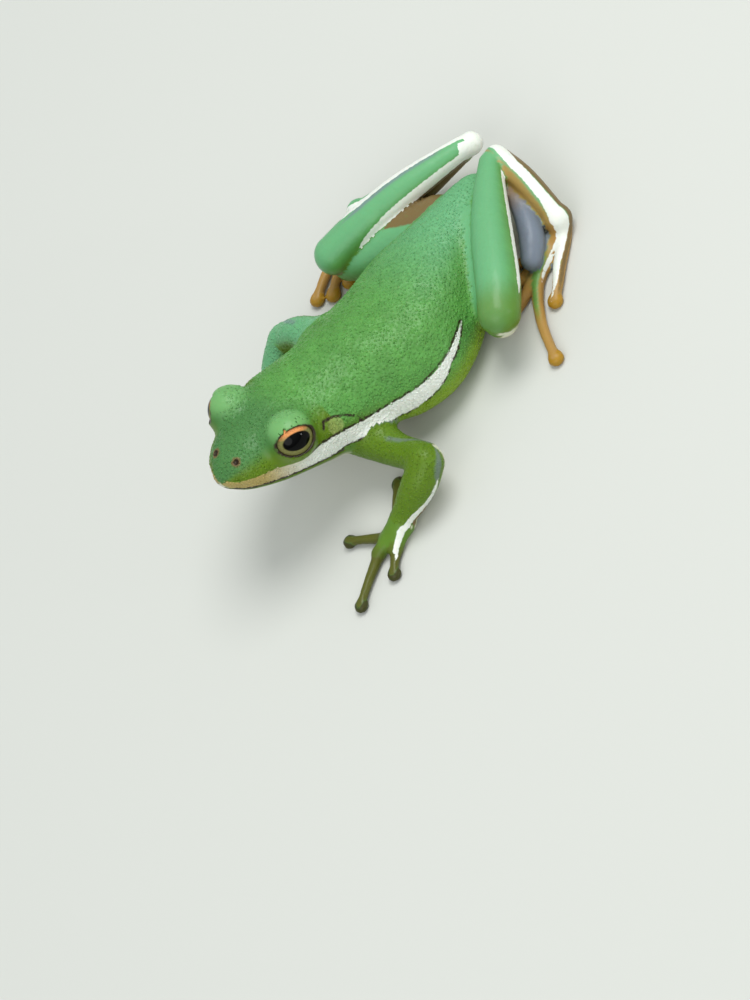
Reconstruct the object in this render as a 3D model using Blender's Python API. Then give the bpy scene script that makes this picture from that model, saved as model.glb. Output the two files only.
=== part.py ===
"""Green tree frog, life size, sitting with its head raised and its hind legs folded.

Lengths are in millimetres and each mesh is scaled to metres as it is made. The frog faces -Y,
its left side is +X, and its belly, palms, soles and finger and toe pads rest on the floor at Z = 0.
"""
import math

import bmesh
import bpy
from mathutils import Euler, Vector

# Driving sizes
SNOUT_TO_VENT = 50.0
SIZE = SNOUT_TO_VENT / 50.0
METRES = 0.001
GAP = 0.3
EYE_RADIUS = 2.6 * SIZE
LID_THICKNESS = 0.55 * SIZE
LID_SETBACK = 0.3 * SIZE
EAR_RADIUS = 1.2 * SIZE
EAR_RIM = 0.3 * SIZE
EAR_FOLD_RADIUS = 0.45
NOSTRIL_RADIUS = 0.32 * SIZE
LIP_LINE_DEPTH = 0.4 * SIZE
LIP_LINE_HEIGHT = 0.3 * SIZE
LIP_LINE_LENGTH = 14.5 * SIZE
WEB_THICKNESS = 0.6 * SIZE
WEB_LEVEL = 0.12 * SIZE
WEB_REACHES = (0.6, 0.6, 0.6, 0.4)
FAR = 100.0

# The head's own frame has its origin at the tip of the snout, +X to the frog's left, +Y back and +Z up
SNOUT = Vector((-0.6, -24.0, 18.6)) * SIZE
HEAD_PITCH = math.radians(-23.0)
HEAD_ROLL = math.radians(4.0)
SNOUT_TIP = Vector((0.0, -0.6, -1.5)) * SIZE
EYE_PLACE = Vector((5.25, 7.75, 1.25)) * SIZE
EYE_AXIS = Vector((0.86, -0.34, 0.36)).normalized()
EYE_OPENING = Vector((2.35, 1.65, 1.5)) * SIZE
EAR_PLACE = Vector((7.0, 12.9, -0.6)) * SIZE
EAR_AXIS = Vector((1.0, 0.05, 0.1))
EAR_FOLD = ((5.9, 9.6, 1.5), (6.7, 11.6, 1.3), (7.3, 13.6, 0.6), (7.35, 15.2, -0.6))
NOSTRIL_PLACE = Vector((1.75, 1.35, 1.25)) * SIZE
LIP_LINE_BELOW = 2.3 * SIZE
LIP_LINE_SLOPE = math.radians(-10.0)

# The neck's cut between head and trunk
NECK = Vector((0.0, -8.9, 10.5)) * SIZE
NECK_LEAN = math.radians(-20.0)

# How full a section is above and below its widest level: 2 is round and more is squarer
FULLNESS_ABOVE = 2.1
FULLNESS_BELOW = 2.7

# Head sections in the head's frame: distance back, half width, top, widest level and bottom
HEAD_SECTIONS = (
    (-0.35, 1.30, -0.40, -1.50, -2.35),
    (0.25, 2.20, 0.35, -1.35, -2.85),
    (0.90, 3.10, 1.05, -1.35, -3.25),
    (2.00, 4.00, 1.70, -1.45, -3.80),
    (3.60, 4.90, 2.30, -1.60, -4.45),
    (5.60, 5.80, 2.75, -1.80, -5.15),
    (8.00, 6.60, 3.10, -1.90, -5.90),
    (10.60, 7.25, 3.35, -1.90, -6.80),
    (13.20, 7.70, 3.40, -1.90, -7.70),
)
# Trunk sections: place along Y, shift to the left, half width, top, widest level, bottom, lean in degrees
TRUNK_SECTIONS = (
    (-7.4, 0.1, 8.4, 15.4, 7.8, 3.8, 17.0),
    (-4.0, 1.0, 9.5, 14.8, 5.9, 1.4, 11.0),
    (0.0, 1.9, 10.1, 13.6, 5.0, 0.2, 5.0),
    (4.5, 2.0, 9.7, 12.5, 4.6, -0.2, 0.0),
    (9.0, 1.4, 8.7, 11.4, 4.4, -0.2, 0.0),
    (13.5, 0.9, 6.6, 10.1, 4.5, 0.2, 0.0),
    (17.5, 0.7, 4.5, 8.9, 4.6, 1.1, 0.0),
    (20.8, 0.4, 3.2, 8.1, 5.0, 2.3, 0.0),
    (23.0, 0.2, 2.1, 7.3, 5.3, 3.7, 0.0),
)
VENT = Vector((0.1, 24.6, 5.6)) * SIZE

# Limb joints and the radius of the flesh there: each limb is a chain of (place, radius), and the hock is the
# soft skin in the bend between the shank and the tarsus
ARM = {
    "left": {
        "upper_arm": (((5.4, -10.6, 6.0), 2.9), ((10.2, -10.9, 5.4), 2.1), ((14.8, -10.7, 5.9), 1.95)),
        "forearm": (((15.9, -11.0, 5.8), 2.1), ((15.3, -13.5, 4.5), 2.2), ((13.7, -17.2, 2.4), 1.6)),
        "wrist": ((13.4, -18.2, 1.7), 1.45),
    },
    "right": {
        "upper_arm": (((-5.6, -2.4, 9.2), 2.7), ((-9.6, -2.7, 8.9), 2.25), ((-12.9, -3.4, 7.4), 2.0)),
        "forearm": (((-13.6, -4.0, 6.8), 2.1), ((-14.2, -6.9, 4.6), 2.2), ((-13.8, -10.8, 2.4), 1.6)),
        "wrist": ((-13.7, -11.8, 1.7), 1.45),
    },
}
PALM_HEIGHT = 0.95
PALM_RADIUS = 0.98
FINGER_RADII = (0.85, 0.70, 0.62)
FINGERS = {
    "left": (
        ((12.3, -18.4), (10.6, -16.3), (9.0, -13.8)),
        ((11.8, -20.4), (8.9, -21.6), (6.6, -22.6)),
        ((11.9, -22.6), (12.5, -26.0), (13.3, -29.2)),
        ((13.9, -21.3), (14.6, -22.6), (15.4, -24.1)),
    ),
    "right": (
        ((-12.9, -12.2), (-11.2, -10.6), (-9.7, -8.9)),
        ((-12.5, -13.8), (-10.3, -15.3), (-8.3, -16.3)),
        ((-13.5, -15.4), (-13.3, -17.6), (-13.5, -20.0)),
        ((-15.0, -14.8), (-16.4, -16.2), (-17.8, -17.8)),
    ),
}
LEG = {
    "left": {
        "thigh": (
            ((4.0, 18.6, 5.0), 3.0),
            ((8.6, 14.2, 4.8), 3.0),
            ((12.2, 10.4, 4.8), 2.6),
            ((14.2, 8.6, 5.0), 2.2),
        ),
        "shank": (
            ((15.8, 8.6, 7.5), 2.6),
            ((13.4, 12.0, 7.7), 2.75),
            ((8.9, 17.0, 7.5), 2.65),
            ((5.0, 21.7, 7.2), 2.15),
            ((1.9, 26.0, 6.9), 1.5),
        ),
        "tarsus": (
            ((1.8, 27.1, 6.5), 1.55),
            ((5.9, 26.1, 5.2), 1.6),
            ((9.7, 24.5, 3.4), 1.55),
            ((11.5, 23.6, 2.1), 1.5),
        ),
        "hock": (
            ((2.6, 25.6, 5.0), 0.9),
            ((7.0, 22.9, 3.7), 1.35),
            ((10.0, 20.2, 3.0), 1.6),
            ((11.6, 17.4, 2.6), 1.3),
        ),
    },
    "right": {
        "thigh": (
            ((-3.6, 18.0, 4.4), 2.9),
            ((-8.0, 13.8, 3.9), 3.0),
            ((-11.5, 10.5, 3.6), 2.7),
            ((-13.7, 9.1, 3.5), 2.3),
        ),
        "shank": (
            ((-14.5, 8.8, 5.8), 2.55),
            ((-11.4, 13.9, 6.8), 2.5),
            ((-8.2, 19.6, 7.1), 2.2),
            ((-4.0, 26.7, 6.5), 1.5),
        ),
        "tarsus": (((-3.6, 27.9, 5.9), 1.5), ((-10.0, 21.9, 4.4), 1.4), ((-17.7, 15.9, 2.4), 1.4)),
        "hock": (
            ((-4.5, 26.5, 5.0), 0.9),
            ((-9.0, 20.5, 3.6), 1.35),
            ((-13.0, 17.0, 3.0), 1.6),
            ((-14.5, 14.5, 2.6), 1.3),
        ),
    },
}
TOE_RADII = (0.95, 0.82, 0.66, 0.60)
TOES = {
    "left": (
        ((11.2, 22.6), (10.2, 18.9), (8.8, 17.2), (7.6, 16.3)),
        ((11.4, 22.0), (10.8, 17.2), (9.8, 14.0), (8.8, 12.2)),
        ((11.7, 21.8), (11.7, 16.4), (12.0, 12.6), (11.6, 9.6)),
        ((12.0, 21.6), (12.6, 15.9), (16.0, 11.4), (21.0, 7.6)),
        ((12.6, 22.2), (14.4, 18.4), (15.8, 15.8), (16.4, 14.2)),
    ),
    "right": (
        ((-18.0, 14.9), (-16.4, 13.2), (-15.2, 12.9), (-14.2, 12.9)),
        ((-18.3, 14.6), (-16.9, 11.6), (-15.9, 9.2), (-15.0, 7.5)),
        ((-18.6, 14.6), (-18.0, 11.0), (-17.2, 7.8), (-16.3, 5.2)),
        ((-19.0, 14.8), (-19.3, 11.0), (-19.0, 7.4), (-18.3, 3.9)),
        ((-19.3, 15.2), (-20.8, 12.8), (-21.1, 11.6), (-21.0, 10.5)),
    ),
}
PAD_RADIUS = 1.02 * SIZE
PAD_HEIGHT = 0.72 * SIZE
PAD_LEVEL = 0.55
DIGIT_HEIGHT = 0.75 * SIZE

# Looks of the solids: colour and roughness
GREEN = ((0.22, 0.46, 0.13, 1.0), 0.45)
BROWN = ((0.28, 0.24, 0.10, 1.0), 0.4)
EYE_COLOUR = ((0.03, 0.03, 0.025, 1.0), 0.08)


def clear_scene():
    for obj in list(bpy.data.objects):
        bpy.data.objects.remove(obj)


def new_collection(name):
    made = bpy.data.collections.new(name)
    bpy.context.scene.collection.children.link(made)
    return made


def material(name, look):
    made = bpy.data.materials.get(name)
    if made is None:
        made = bpy.data.materials.new(name)
        made.use_nodes = True
        shader = made.node_tree.nodes["Principled BSDF"]
        shader.inputs["Base Color"].default_value = look[0]
        shader.inputs["Roughness"].default_value = look[1]
        shader.inputs["Metallic"].default_value = 0.0
    return made


def spread(rows, steps):
    """Rows of numbers on a smooth curve through the given rows, with that many steps between two rows."""
    padded = [rows[0]] + list(rows) + [rows[-1]]
    made = []
    for i in range(1, len(padded) - 2):
        before, start, end, after = padded[i - 1 : i + 3]
        for step in range(steps):
            t = step / steps
            made.append(
                [
                    0.5
                    * (
                        2 * b
                        + (c - a) * t
                        + (2 * a - 5 * b + 4 * c - d) * t * t
                        + (3 * b - a - 3 * c + d) * t**3
                    )
                    for a, b, c, d in zip(before, start, end, after)
                ]
            )
    made.append(list(rows[-1]))
    return made


def loft(name, rings, start, end):
    """A closed mesh through rings of points, with a pole at each end."""
    made = bmesh.new()
    rows = [[made.verts.new(point) for point in ring] for ring in rings]
    count = len(rows[0])
    for near, far in zip(rows, rows[1:]):
        for i in range(count):
            made.faces.new((near[i], near[(i + 1) % count], far[(i + 1) % count], far[i]))
    for pole, row in ((start, rows[0]), (end, rows[-1])):
        tip = made.verts.new(pole)
        for i in range(count):
            made.faces.new((tip, row[i], row[(i + 1) % count]))
    bmesh.ops.recalc_face_normals(made, faces=made.faces)
    return as_object(name, made)


def as_object(name, made):
    bmesh.ops.scale(made, vec=(METRES,) * 3, verts=made.verts)
    mesh = bpy.data.meshes.new(name)
    made.to_mesh(mesh)
    made.free()
    obj = bpy.data.objects.new(name, mesh)
    WORK.objects.link(obj)
    return obj


def tube(name, chain, sides=12, steps=2):
    """A limb of round sections through a chain of (place, radius), with domed ends."""
    rows = spread([(*(Vector(place) * SIZE), radius * SIZE) for place, radius in chain], steps)
    places = [Vector(row[:3]) for row in rows]
    radii = [row[3] for row in rows]
    first = (places[1] - places[0]).normalized()
    last = (places[-1] - places[-2]).normalized()
    heads, tails = [], []
    for angle in (math.radians(65.0), math.radians(32.0)):
        rise, width = math.sin(angle), math.cos(angle)
        heads.append((places[0] - first * radii[0] * rise, radii[0] * width, first))
        tails.insert(0, (places[-1] + last * radii[-1] * rise, radii[-1] * width, last))
    middle = []
    for i, (place, radius) in enumerate(zip(places, radii)):
        along = places[min(i + 1, len(places) - 1)] - places[max(i - 1, 0)]
        middle.append((place, radius, along.normalized()))
    rings = []
    side = first.cross(Vector((0.0, 0.0, 1.0)))
    if side.length < 0.1:
        side = Vector((1.0, 0.0, 0.0))
    for place, radius, along in heads + middle + tails:
        side = (side - along * side.dot(along)).normalized()
        up = side.cross(along)
        turns = [2 * math.pi * i / sides for i in range(sides)]
        rings.append([place + (side * math.cos(a) + up * math.sin(a)) * radius for a in turns])
    return loft(name, rings, places[0] - first * radii[0], places[-1] + last * radii[-1])


def ball(name, place, radii, segments=16, rings=10, turn=None):
    made = bmesh.new()
    bmesh.ops.create_uvsphere(made, u_segments=segments, v_segments=rings, radius=1.0)
    bmesh.ops.scale(made, vec=radii, verts=made.verts)
    if turn is not None:
        bmesh.ops.rotate(made, matrix=turn, verts=made.verts)
    bmesh.ops.translate(made, vec=place, verts=made.verts)
    return as_object(name, made)


def block(name, low, high):
    made = bmesh.new()
    bmesh.ops.create_cube(made, size=1.0)
    low, high = Vector(low), Vector(high)
    bmesh.ops.scale(made, vec=high - low, verts=made.verts)
    bmesh.ops.translate(made, vec=(low + high) / 2, verts=made.verts)
    return as_object(name, made)


def ring(name, place, axis, major, minor, sides=20):
    """A torus about an axis, from a small circle turned round it."""
    made = bmesh.new()
    turn = axis.to_track_quat("Z", "Y").to_matrix()
    rows = []
    for i in range(sides):
        a = 2 * math.pi * i / sides
        out = Vector((math.cos(a), math.sin(a), 0.0))
        row = []
        for j in range(6):
            b = 2 * math.pi * j / 6
            point = out * (major + minor * math.cos(b)) + Vector((0.0, 0.0, minor * math.sin(b)))
            row.append(made.verts.new(turn @ point + place))
        rows.append(row)
    for i in range(sides):
        for j in range(6):
            near, far = rows[i], rows[(i + 1) % sides]
            made.faces.new((near[j], near[(j + 1) % 6], far[(j + 1) % 6], far[j]))
    bmesh.ops.recalc_face_normals(made, faces=made.faces)
    return as_object(name, made)


def evaluated_mesh(obj):
    graph = bpy.context.evaluated_depsgraph_get()
    return bpy.data.meshes.new_from_object(obj.evaluated_get(graph))


def bake(obj):
    """Puts the modifiers' result in the object's own mesh."""
    mesh = evaluated_mesh(obj)
    obj.modifiers.clear()
    obj.data = mesh


def boolean(obj, others, operation):
    """Joins others to obj, or cuts them from it, and removes them."""
    group = new_collection(obj.name + "_tools")
    for other in others:
        for home in list(other.users_collection):
            home.objects.unlink(other)
        group.objects.link(other)
    step = obj.modifiers.new("tools", "BOOLEAN")
    step.operation = operation
    step.operand_type = "COLLECTION"
    step.collection = group
    step.solver = "MANIFOLD"
    bake(obj)
    for other in others:
        bpy.data.objects.remove(other)
    bpy.data.collections.remove(group)
    return obj


def join(obj, others):
    return boolean(obj, others, "UNION")


def cut(obj, others):
    return boolean(obj, others, "DIFFERENCE")


def swollen(obj, by=GAP):
    """A copy of a solid, grown by the gap that two nodes keep between them."""
    copy = bpy.data.objects.new(obj.name + "_swollen", obj.data.copy())
    WORK.objects.link(copy)
    grow = copy.modifiers.new("grow", "DISPLACE")
    grow.strength = by * METRES
    grow.mid_level = 0.0
    bake(copy)
    return copy


def drop_fins(made):
    """Removes pairs of faces that lie back to back on the same corners, which enclose nothing."""
    pairs = {}
    for face in made.faces:
        pairs.setdefault(frozenset(face.verts), []).append(face)
    fins = [face for faces in pairs.values() if len(faces) == 2 for face in faces]
    bmesh.ops.delete(made, geom=fins, context="FACES")


def largest_body(obj):
    """Keeps only the largest closed surface of a mesh."""
    made = bmesh.new()
    made.from_mesh(obj.data)
    bmesh.ops.triangulate(made, faces=made.faces)
    drop_fins(made)
    left = set(made.verts)
    groups = []
    while left:
        seed = left.pop()
        group, reached = {seed}, [seed]
        while reached:
            for edge in reached.pop().link_edges:
                for vert in edge.verts:
                    if vert not in group:
                        group.add(vert)
                        reached.append(vert)
        left -= group
        groups.append(group)
    groups.sort(key=len)
    dropped = [vert for group in groups[:-1] for vert in group]
    bmesh.ops.delete(made, geom=dropped, context="VERTS")
    made.to_mesh(obj.data)
    made.free()
    return obj


def head_turn():
    return Euler((HEAD_PITCH, HEAD_ROLL, 0.0), "XYZ").to_matrix()


def head_point(place, side=1.0):
    """A place in the head's frame, on the left with side 1 and on the right with side -1."""
    return SNOUT + head_turn() @ Vector((place.x * side, place.y, place.z))


def head_direction(axis, side=1.0):
    return (head_turn() @ Vector((axis.x * side, axis.y, axis.z))).normalized()


def body_sections():
    """Rows of centre, half width, height above, depth below, lean and roll, from the snout to the vent."""
    rows = []
    for back, half_width, top, widest, bottom in HEAD_SECTIONS:
        centre = head_point(Vector((0.0, back, widest)) * SIZE)
        size = [length * SIZE for length in (half_width, top - widest, widest - bottom)]
        rows.append((*centre, *size, -math.degrees(HEAD_PITCH), math.degrees(HEAD_ROLL)))
    for i, (along, shift, half_width, top, widest, bottom, lean) in enumerate(TRUNK_SECTIONS):
        centre = Vector((shift, along, widest)) * SIZE
        size = [length * SIZE for length in (half_width, top - widest, widest - bottom)]
        rows.append((*centre, *size, lean, math.degrees(HEAD_ROLL) * max(0.0, 0.6 - i / 3)))
    return rows


def rounded(value, fullness):
    return math.copysign(abs(value) ** (2 / fullness), value)


def body_loft(name, sides=28):
    """The head and trunk as one skin through their sections."""
    rings = []
    for x, y, z, wide, above, below, lean, roll in spread(body_sections(), 2):
        turn = Euler((-math.radians(lean), math.radians(roll), 0.0), "XYZ").to_matrix()
        section = []
        for i in range(sides):
            a = 2 * math.pi * i / sides
            up = math.sin(a) >= 0.0
            fullness = FULLNESS_ABOVE if up else FULLNESS_BELOW
            across = rounded(math.cos(a), fullness) * wide
            height = rounded(math.sin(a), fullness) * (above if up else below)
            section.append(Vector((x, y, z)) + turn @ Vector((across, 0.0, height)))
        rings.append(section)
    return loft(name, rings, head_point(SNOUT_TIP), VENT)


def neck_cutter(keep_front):
    """A block whose face is the neck's cut, leaning as the head does."""
    made = bmesh.new()
    bmesh.ops.create_cube(made, size=FAR)
    shift = (FAR - GAP) / 2 if keep_front else (GAP - FAR) / 2
    bmesh.ops.translate(made, vec=(0.0, shift, 0.0), verts=made.verts)
    bmesh.ops.rotate(made, matrix=Euler((NECK_LEAN, 0.0, 0.0)).to_matrix(), verts=made.verts)
    bmesh.ops.translate(made, vec=NECK, verts=made.verts)
    return as_object("neck_cutter", made)


def lip_line_cutter():
    """A thin plate round the jaw along the mouth, less the core of the head that it doesn't reach."""
    turns = [2 * math.pi * i / 24 for i in range(24)]
    rings = []
    for back, half_width, top, _, bottom in spread(HEAD_SECTIONS, 2):
        across = max(half_width * SIZE - LIP_LINE_DEPTH, 0.2)
        tall = (top - bottom) * SIZE
        along = back * SIZE + LIP_LINE_DEPTH
        rings.append([head_point(Vector((across * math.cos(a), along, tall * math.sin(a)))) for a in turns])
    front = SNOUT_TIP + Vector((0.0, LIP_LINE_DEPTH, 0.0))
    core = loft("lip_core", rings, head_point(front), head_point(Vector((0.0, 16.0 * SIZE, 0.0))))
    made = bmesh.new()
    bmesh.ops.create_cube(made, size=1.0)
    bmesh.ops.scale(made, vec=(FAR, LIP_LINE_LENGTH, LIP_LINE_HEIGHT), verts=made.verts)
    bmesh.ops.translate(made, vec=(0.0, LIP_LINE_LENGTH / 2 - 2.0 * SIZE, 0.0), verts=made.verts)
    bmesh.ops.rotate(made, matrix=Euler((LIP_LINE_SLOPE, 0.0, 0.0)).to_matrix(), verts=made.verts)
    bmesh.ops.translate(made, vec=(0.0, 0.0, -LIP_LINE_BELOW), verts=made.verts)
    bmesh.ops.rotate(made, matrix=head_turn(), verts=made.verts)
    bmesh.ops.translate(made, vec=SNOUT, verts=made.verts)
    return cut(as_object("lip_line", made), [core])


def make_eyes():
    eyes = []
    for word, side in (("left", 1.0), ("right", -1.0)):
        turn = head_direction(EYE_AXIS, side).to_track_quat("Z", "Y").to_matrix()
        place = head_point(EYE_PLACE, side)
        eyes.append(ball("eye_" + word, place, (EYE_RADIUS,) * 3, segments=20, rings=12, turn=turn))
    return eyes


def make_head():
    """The head with raised lids round the eyes, the ears' rims, nostrils and the line of the mouth."""
    head = body_loft("head")
    added, cutters = [], []
    for side in (1.0, -1.0):
        out = head_direction(EYE_AXIS, side)
        turn = out.to_track_quat("Z", "Y").to_matrix()
        eye = head_point(EYE_PLACE, side)
        added.append(ball("lid", eye - out * LID_SETBACK, (EYE_RADIUS + LID_THICKNESS,) * 3, turn=turn))
        ear = head_point(EAR_PLACE, side)
        added.append(ring("ear_rim", ear, head_direction(EAR_AXIS, side), EAR_RADIUS, EAR_RIM))
        fold = [(head_point(Vector(place) * SIZE, side) / SIZE, EAR_FOLD_RADIUS) for place in EAR_FOLD]
        added.append(tube("ear_fold", fold, sides=8))
        cutters.append(ball("socket", eye, (EYE_RADIUS + GAP,) * 3, segments=20, rings=12, turn=turn))
        cutters.append(ball("eye_opening", eye + out * EYE_RADIUS * 1.15, EYE_OPENING, turn=turn))
        size = (NOSTRIL_RADIUS, NOSTRIL_RADIUS * 1.3, NOSTRIL_RADIUS * 2)
        cutters.append(ball("nostril", head_point(NOSTRIL_PLACE, side), size, segments=8, rings=6))
    head = cut(join(head, added), [neck_cutter(True)])
    return cut(cut(head, cutters), [lip_line_cutter()])


def make_torso():
    torso = cut(body_loft("torso"), [neck_cutter(False)])
    return cut(torso, [floor_cutter()])


def floor_cutter():
    return block("under_floor", (-FAR, -FAR, -FAR), (FAR, FAR, 0.0))


def digit_chain(path, radii):
    return [((x, y, DIGIT_HEIGHT), radius) for (x, y), radius in zip(path, radii)]


def pad(name, path):
    """The round pad at a digit's tip, flattened, and longer along the digit."""
    before, tip = Vector(path[-2]), Vector(path[-1])
    heading = math.atan2(tip.y - before.y, tip.x - before.x)
    turn = Euler((0.0, 0.0, heading)).to_matrix()
    place = Vector((tip.x, tip.y, PAD_LEVEL)) * SIZE
    return ball(name, place, (PAD_RADIUS * 1.1, PAD_RADIUS, PAD_HEIGHT), segments=10, rings=6, turn=turn)


def grown(chain):
    """A limb's chain with its flesh thicker by the gap, as a cutter for what meets it."""
    return [(place, radius + GAP / SIZE) for place, radius in chain]


def clear_of(obj, chains):
    """Cuts an object so that it meets the limbs of those chains face to face."""
    return cut(obj, [tube("cutter", grown(chain)) for chain in chains])


def make_arm(side, body):
    joints = ARM[side]
    upper = tube("upper_arm_" + side, joints["upper_arm"])
    upper = cut(upper, [swollen(body)])
    fore = tube("forearm_" + side, joints["forearm"], sides=14)
    fore = clear_of(fore, [joints["upper_arm"]])
    bones = []
    for path in FINGERS[side]:
        bones.append([joints["wrist"], ((*path[0], PALM_HEIGHT), PALM_RADIUS)])
    palm = tube("palm_" + side, bones[0], sides=8)
    palm = join(palm, [tube("palm_bone", bone, sides=8) for bone in bones[1:]])
    palm = cut(clear_of(palm, [joints["forearm"]]), [floor_cutter()])
    made = [upper, fore, palm]
    for number, path in enumerate(FINGERS[side], 1):
        finger = tube(f"finger_{side}_{number}", digit_chain(path, FINGER_RADII), sides=8)
        finger = join(finger, [pad("pad", path)])
        finger = cut(clear_of(finger, bones), [floor_cutter()])
        made.append(finger)
    return made


def web_between(name, near, far, reach):
    """A thin skin between two toes, from their root to where each comes free, with a hollow front edge."""
    made = bmesh.new()
    steps = 5
    edges = []
    for path in (near, far):
        rows = spread([(*point, 0.0) for point in path], 4)
        count = int(reach * (len(rows) - 1))
        edges.append([Vector(rows[round(i * count / steps)][:2]) for i in range(steps + 1)])
    low, high = WEB_LEVEL, WEB_LEVEL + WEB_THICKNESS
    grid = []
    for level in (low, high):
        layer = []
        for i in range(steps + 1):
            a, b = edges[0][i], edges[1][i]
            middle = (a + b) / 2
            if i == steps:
                middle = (middle + (edges[0][i - 1] + edges[1][i - 1]) / 2) / 2
            layer.append([made.verts.new((*(point * SIZE), level)) for point in (a, middle, b)])
        grid.append(layer)
    for layer in grid:
        for i in range(steps):
            for j in range(2):
                a, b, c, d = layer[i][j], layer[i][j + 1], layer[i + 1][j + 1], layer[i + 1][j]
                made.faces.new((a, b, c))
                made.faces.new((a, c, d))
    border = [(i, 0) for i in range(steps + 1)] + [(steps, 1)]
    border += [(i, 2) for i in range(steps, -1, -1)] + [(0, 1)]
    for (i, j), (k, m) in zip(border, border[1:] + border[:1]):
        made.faces.new((grid[0][i][j], grid[0][k][m], grid[1][k][m], grid[1][i][j]))
    bmesh.ops.recalc_face_normals(made, faces=made.faces)
    return as_object(name, made)


def make_leg(side, body):
    joints = LEG[side]
    thigh = tube("thigh_" + side, joints["thigh"], sides=14)
    thigh = cut(thigh, [swollen(body)])
    shank = tube("shank_" + side, joints["shank"], sides=14)
    shank = clear_of(cut(shank, [swollen(body)]), [joints["thigh"]])
    bones = [[joints["tarsus"][-1]] + digit_chain(path[:3], TOE_RADII) for path in TOES[side]]
    hock = clear_of(tube("hock", joints["hock"]), bones)
    tarsus = join(tube("tarsus_" + side, joints["tarsus"]), [hock])
    tarsus = clear_of(tarsus, [joints["shank"]])
    foot = tube("foot_" + side, bones[0], sides=8)
    pieces = [tube("foot_bone", bone, sides=8) for bone in bones[1:]]
    for near, far, reach in zip(TOES[side], TOES[side][1:], WEB_REACHES):
        pieces.append(web_between("web", near, far, reach))
    foot = join(foot, pieces)
    foot = cut(clear_of(foot, [joints["tarsus"]]), [floor_cutter()])
    made = [thigh, shank, tarsus, foot]
    for number, path in enumerate(TOES[side], 1):
        toe = tube(f"toe_{side}_{number}", digit_chain(path[2:], TOE_RADII[2:]), sides=8)
        toe = join(toe, [pad("pad", path)])
        toe = cut(clear_of(toe, bones), [floor_cutter()])
        made.append(toe)
    return made


def finish_node(obj, look_name, look):
    largest_body(obj)
    WORK.objects.unlink(obj)
    FROG.objects.link(obj)
    obj.data.materials.clear()
    obj.data.materials.append(material(look_name, look))
    obj.data.shade_smooth()
    obj.data.set_sharp_from_angle(angle=math.radians(50.0))


def centre_on_origin(objects):
    """Moves the meshes so that the frog's box has its bottom's centre at the origin."""
    points = [vert.co for obj in objects for vert in obj.data.vertices]
    low = Vector(min(point[i] for point in points) for i in range(3))
    high = Vector(max(point[i] for point in points) for i in range(3))
    shift = Vector((-(low.x + high.x) / 2, -(low.y + high.y) / 2, -low.z))
    for obj in objects:
        for vert in obj.data.vertices:
            vert.co += shift


def main():
    eyes = make_eyes()
    head = make_head()
    torso = make_torso()
    body = body_loft("body")
    limbs = []
    for side in ("left", "right"):
        limbs += make_arm(side, body) + make_leg(side, body)
    bpy.data.objects.remove(body)
    for obj in [head, torso] + limbs:
        digit = obj.name.startswith(("finger", "toe"))
        finish_node(obj, "digit_skin" if digit else "green_skin", BROWN if digit else GREEN)
    for eye in eyes:
        finish_node(eye, "eye", EYE_COLOUR)
    centre_on_origin([head, torso] + limbs + eyes)


clear_scene()
WORK = new_collection("work")
FROG = new_collection("tree_frog")
main()
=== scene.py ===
"""Green tree frog, life size, sitting with its head raised and its hind legs folded.

The skin is one closed surface round rows of round flesh. Its sums are in millimetres in the frog's own
frame: it faces -Y, its left is +X, and the floor is at Z = 0. Each finished mesh is in metres.
"""
import math
from collections import namedtuple

import bmesh
import bpy
import numpy as np
from bpy.props import FloatProperty, FloatVectorProperty, PointerProperty
from mathutils import Euler, Matrix, Vector, noise


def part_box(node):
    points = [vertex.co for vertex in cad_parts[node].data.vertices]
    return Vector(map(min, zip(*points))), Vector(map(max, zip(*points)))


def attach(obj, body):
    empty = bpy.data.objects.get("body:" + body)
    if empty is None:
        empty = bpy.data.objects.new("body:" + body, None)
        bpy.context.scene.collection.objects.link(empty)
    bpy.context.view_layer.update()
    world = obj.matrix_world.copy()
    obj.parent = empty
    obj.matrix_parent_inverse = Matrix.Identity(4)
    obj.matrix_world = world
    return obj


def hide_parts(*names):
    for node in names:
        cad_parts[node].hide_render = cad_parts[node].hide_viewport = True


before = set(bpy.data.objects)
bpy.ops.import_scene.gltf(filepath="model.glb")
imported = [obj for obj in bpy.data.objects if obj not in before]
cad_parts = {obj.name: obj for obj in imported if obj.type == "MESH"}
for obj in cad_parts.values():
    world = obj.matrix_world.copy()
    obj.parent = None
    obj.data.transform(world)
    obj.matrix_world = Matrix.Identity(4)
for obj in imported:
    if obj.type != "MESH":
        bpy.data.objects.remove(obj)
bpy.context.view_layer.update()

bl_info = {
    "name": "Green tree frog",
    "version": (1, 0, 0),
    "blender": (4, 5, 0),
    "location": "View3D > Sidebar > Frog",
    "description": "Builds a life-size green tree frog model over its solids, with its stage",
    "category": "Add Mesh",
}

METRES = 0.001

# The head's own frame has its origin at the tip of the snout, +X to the frog's left, +Y back and +Z up
SNOUT = Vector((-0.6, -24.0, 18.6))
HEAD_PITCH = math.radians(-23.0)
HEAD_ROLL = math.radians(4.0)
SNOUT_TIP = Vector((0.0, -0.6, -1.5))
EYE_PLACE = Vector((5.25, 7.75, 1.25))
EYE_AXIS = Vector((0.86, -0.34, 0.36)).normalized()
EAR_PLACE = Vector((7.0, 12.9, -0.6))
NOSTRIL_PLACE = Vector((1.75, 1.35, 1.25))
EYE_TILT = math.radians(11.0)

# How full a section is above and below its widest level: 2 is round and more is squarer
FULLNESS_ABOVE = 2.1
FULLNESS_BELOW = 2.7

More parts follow.
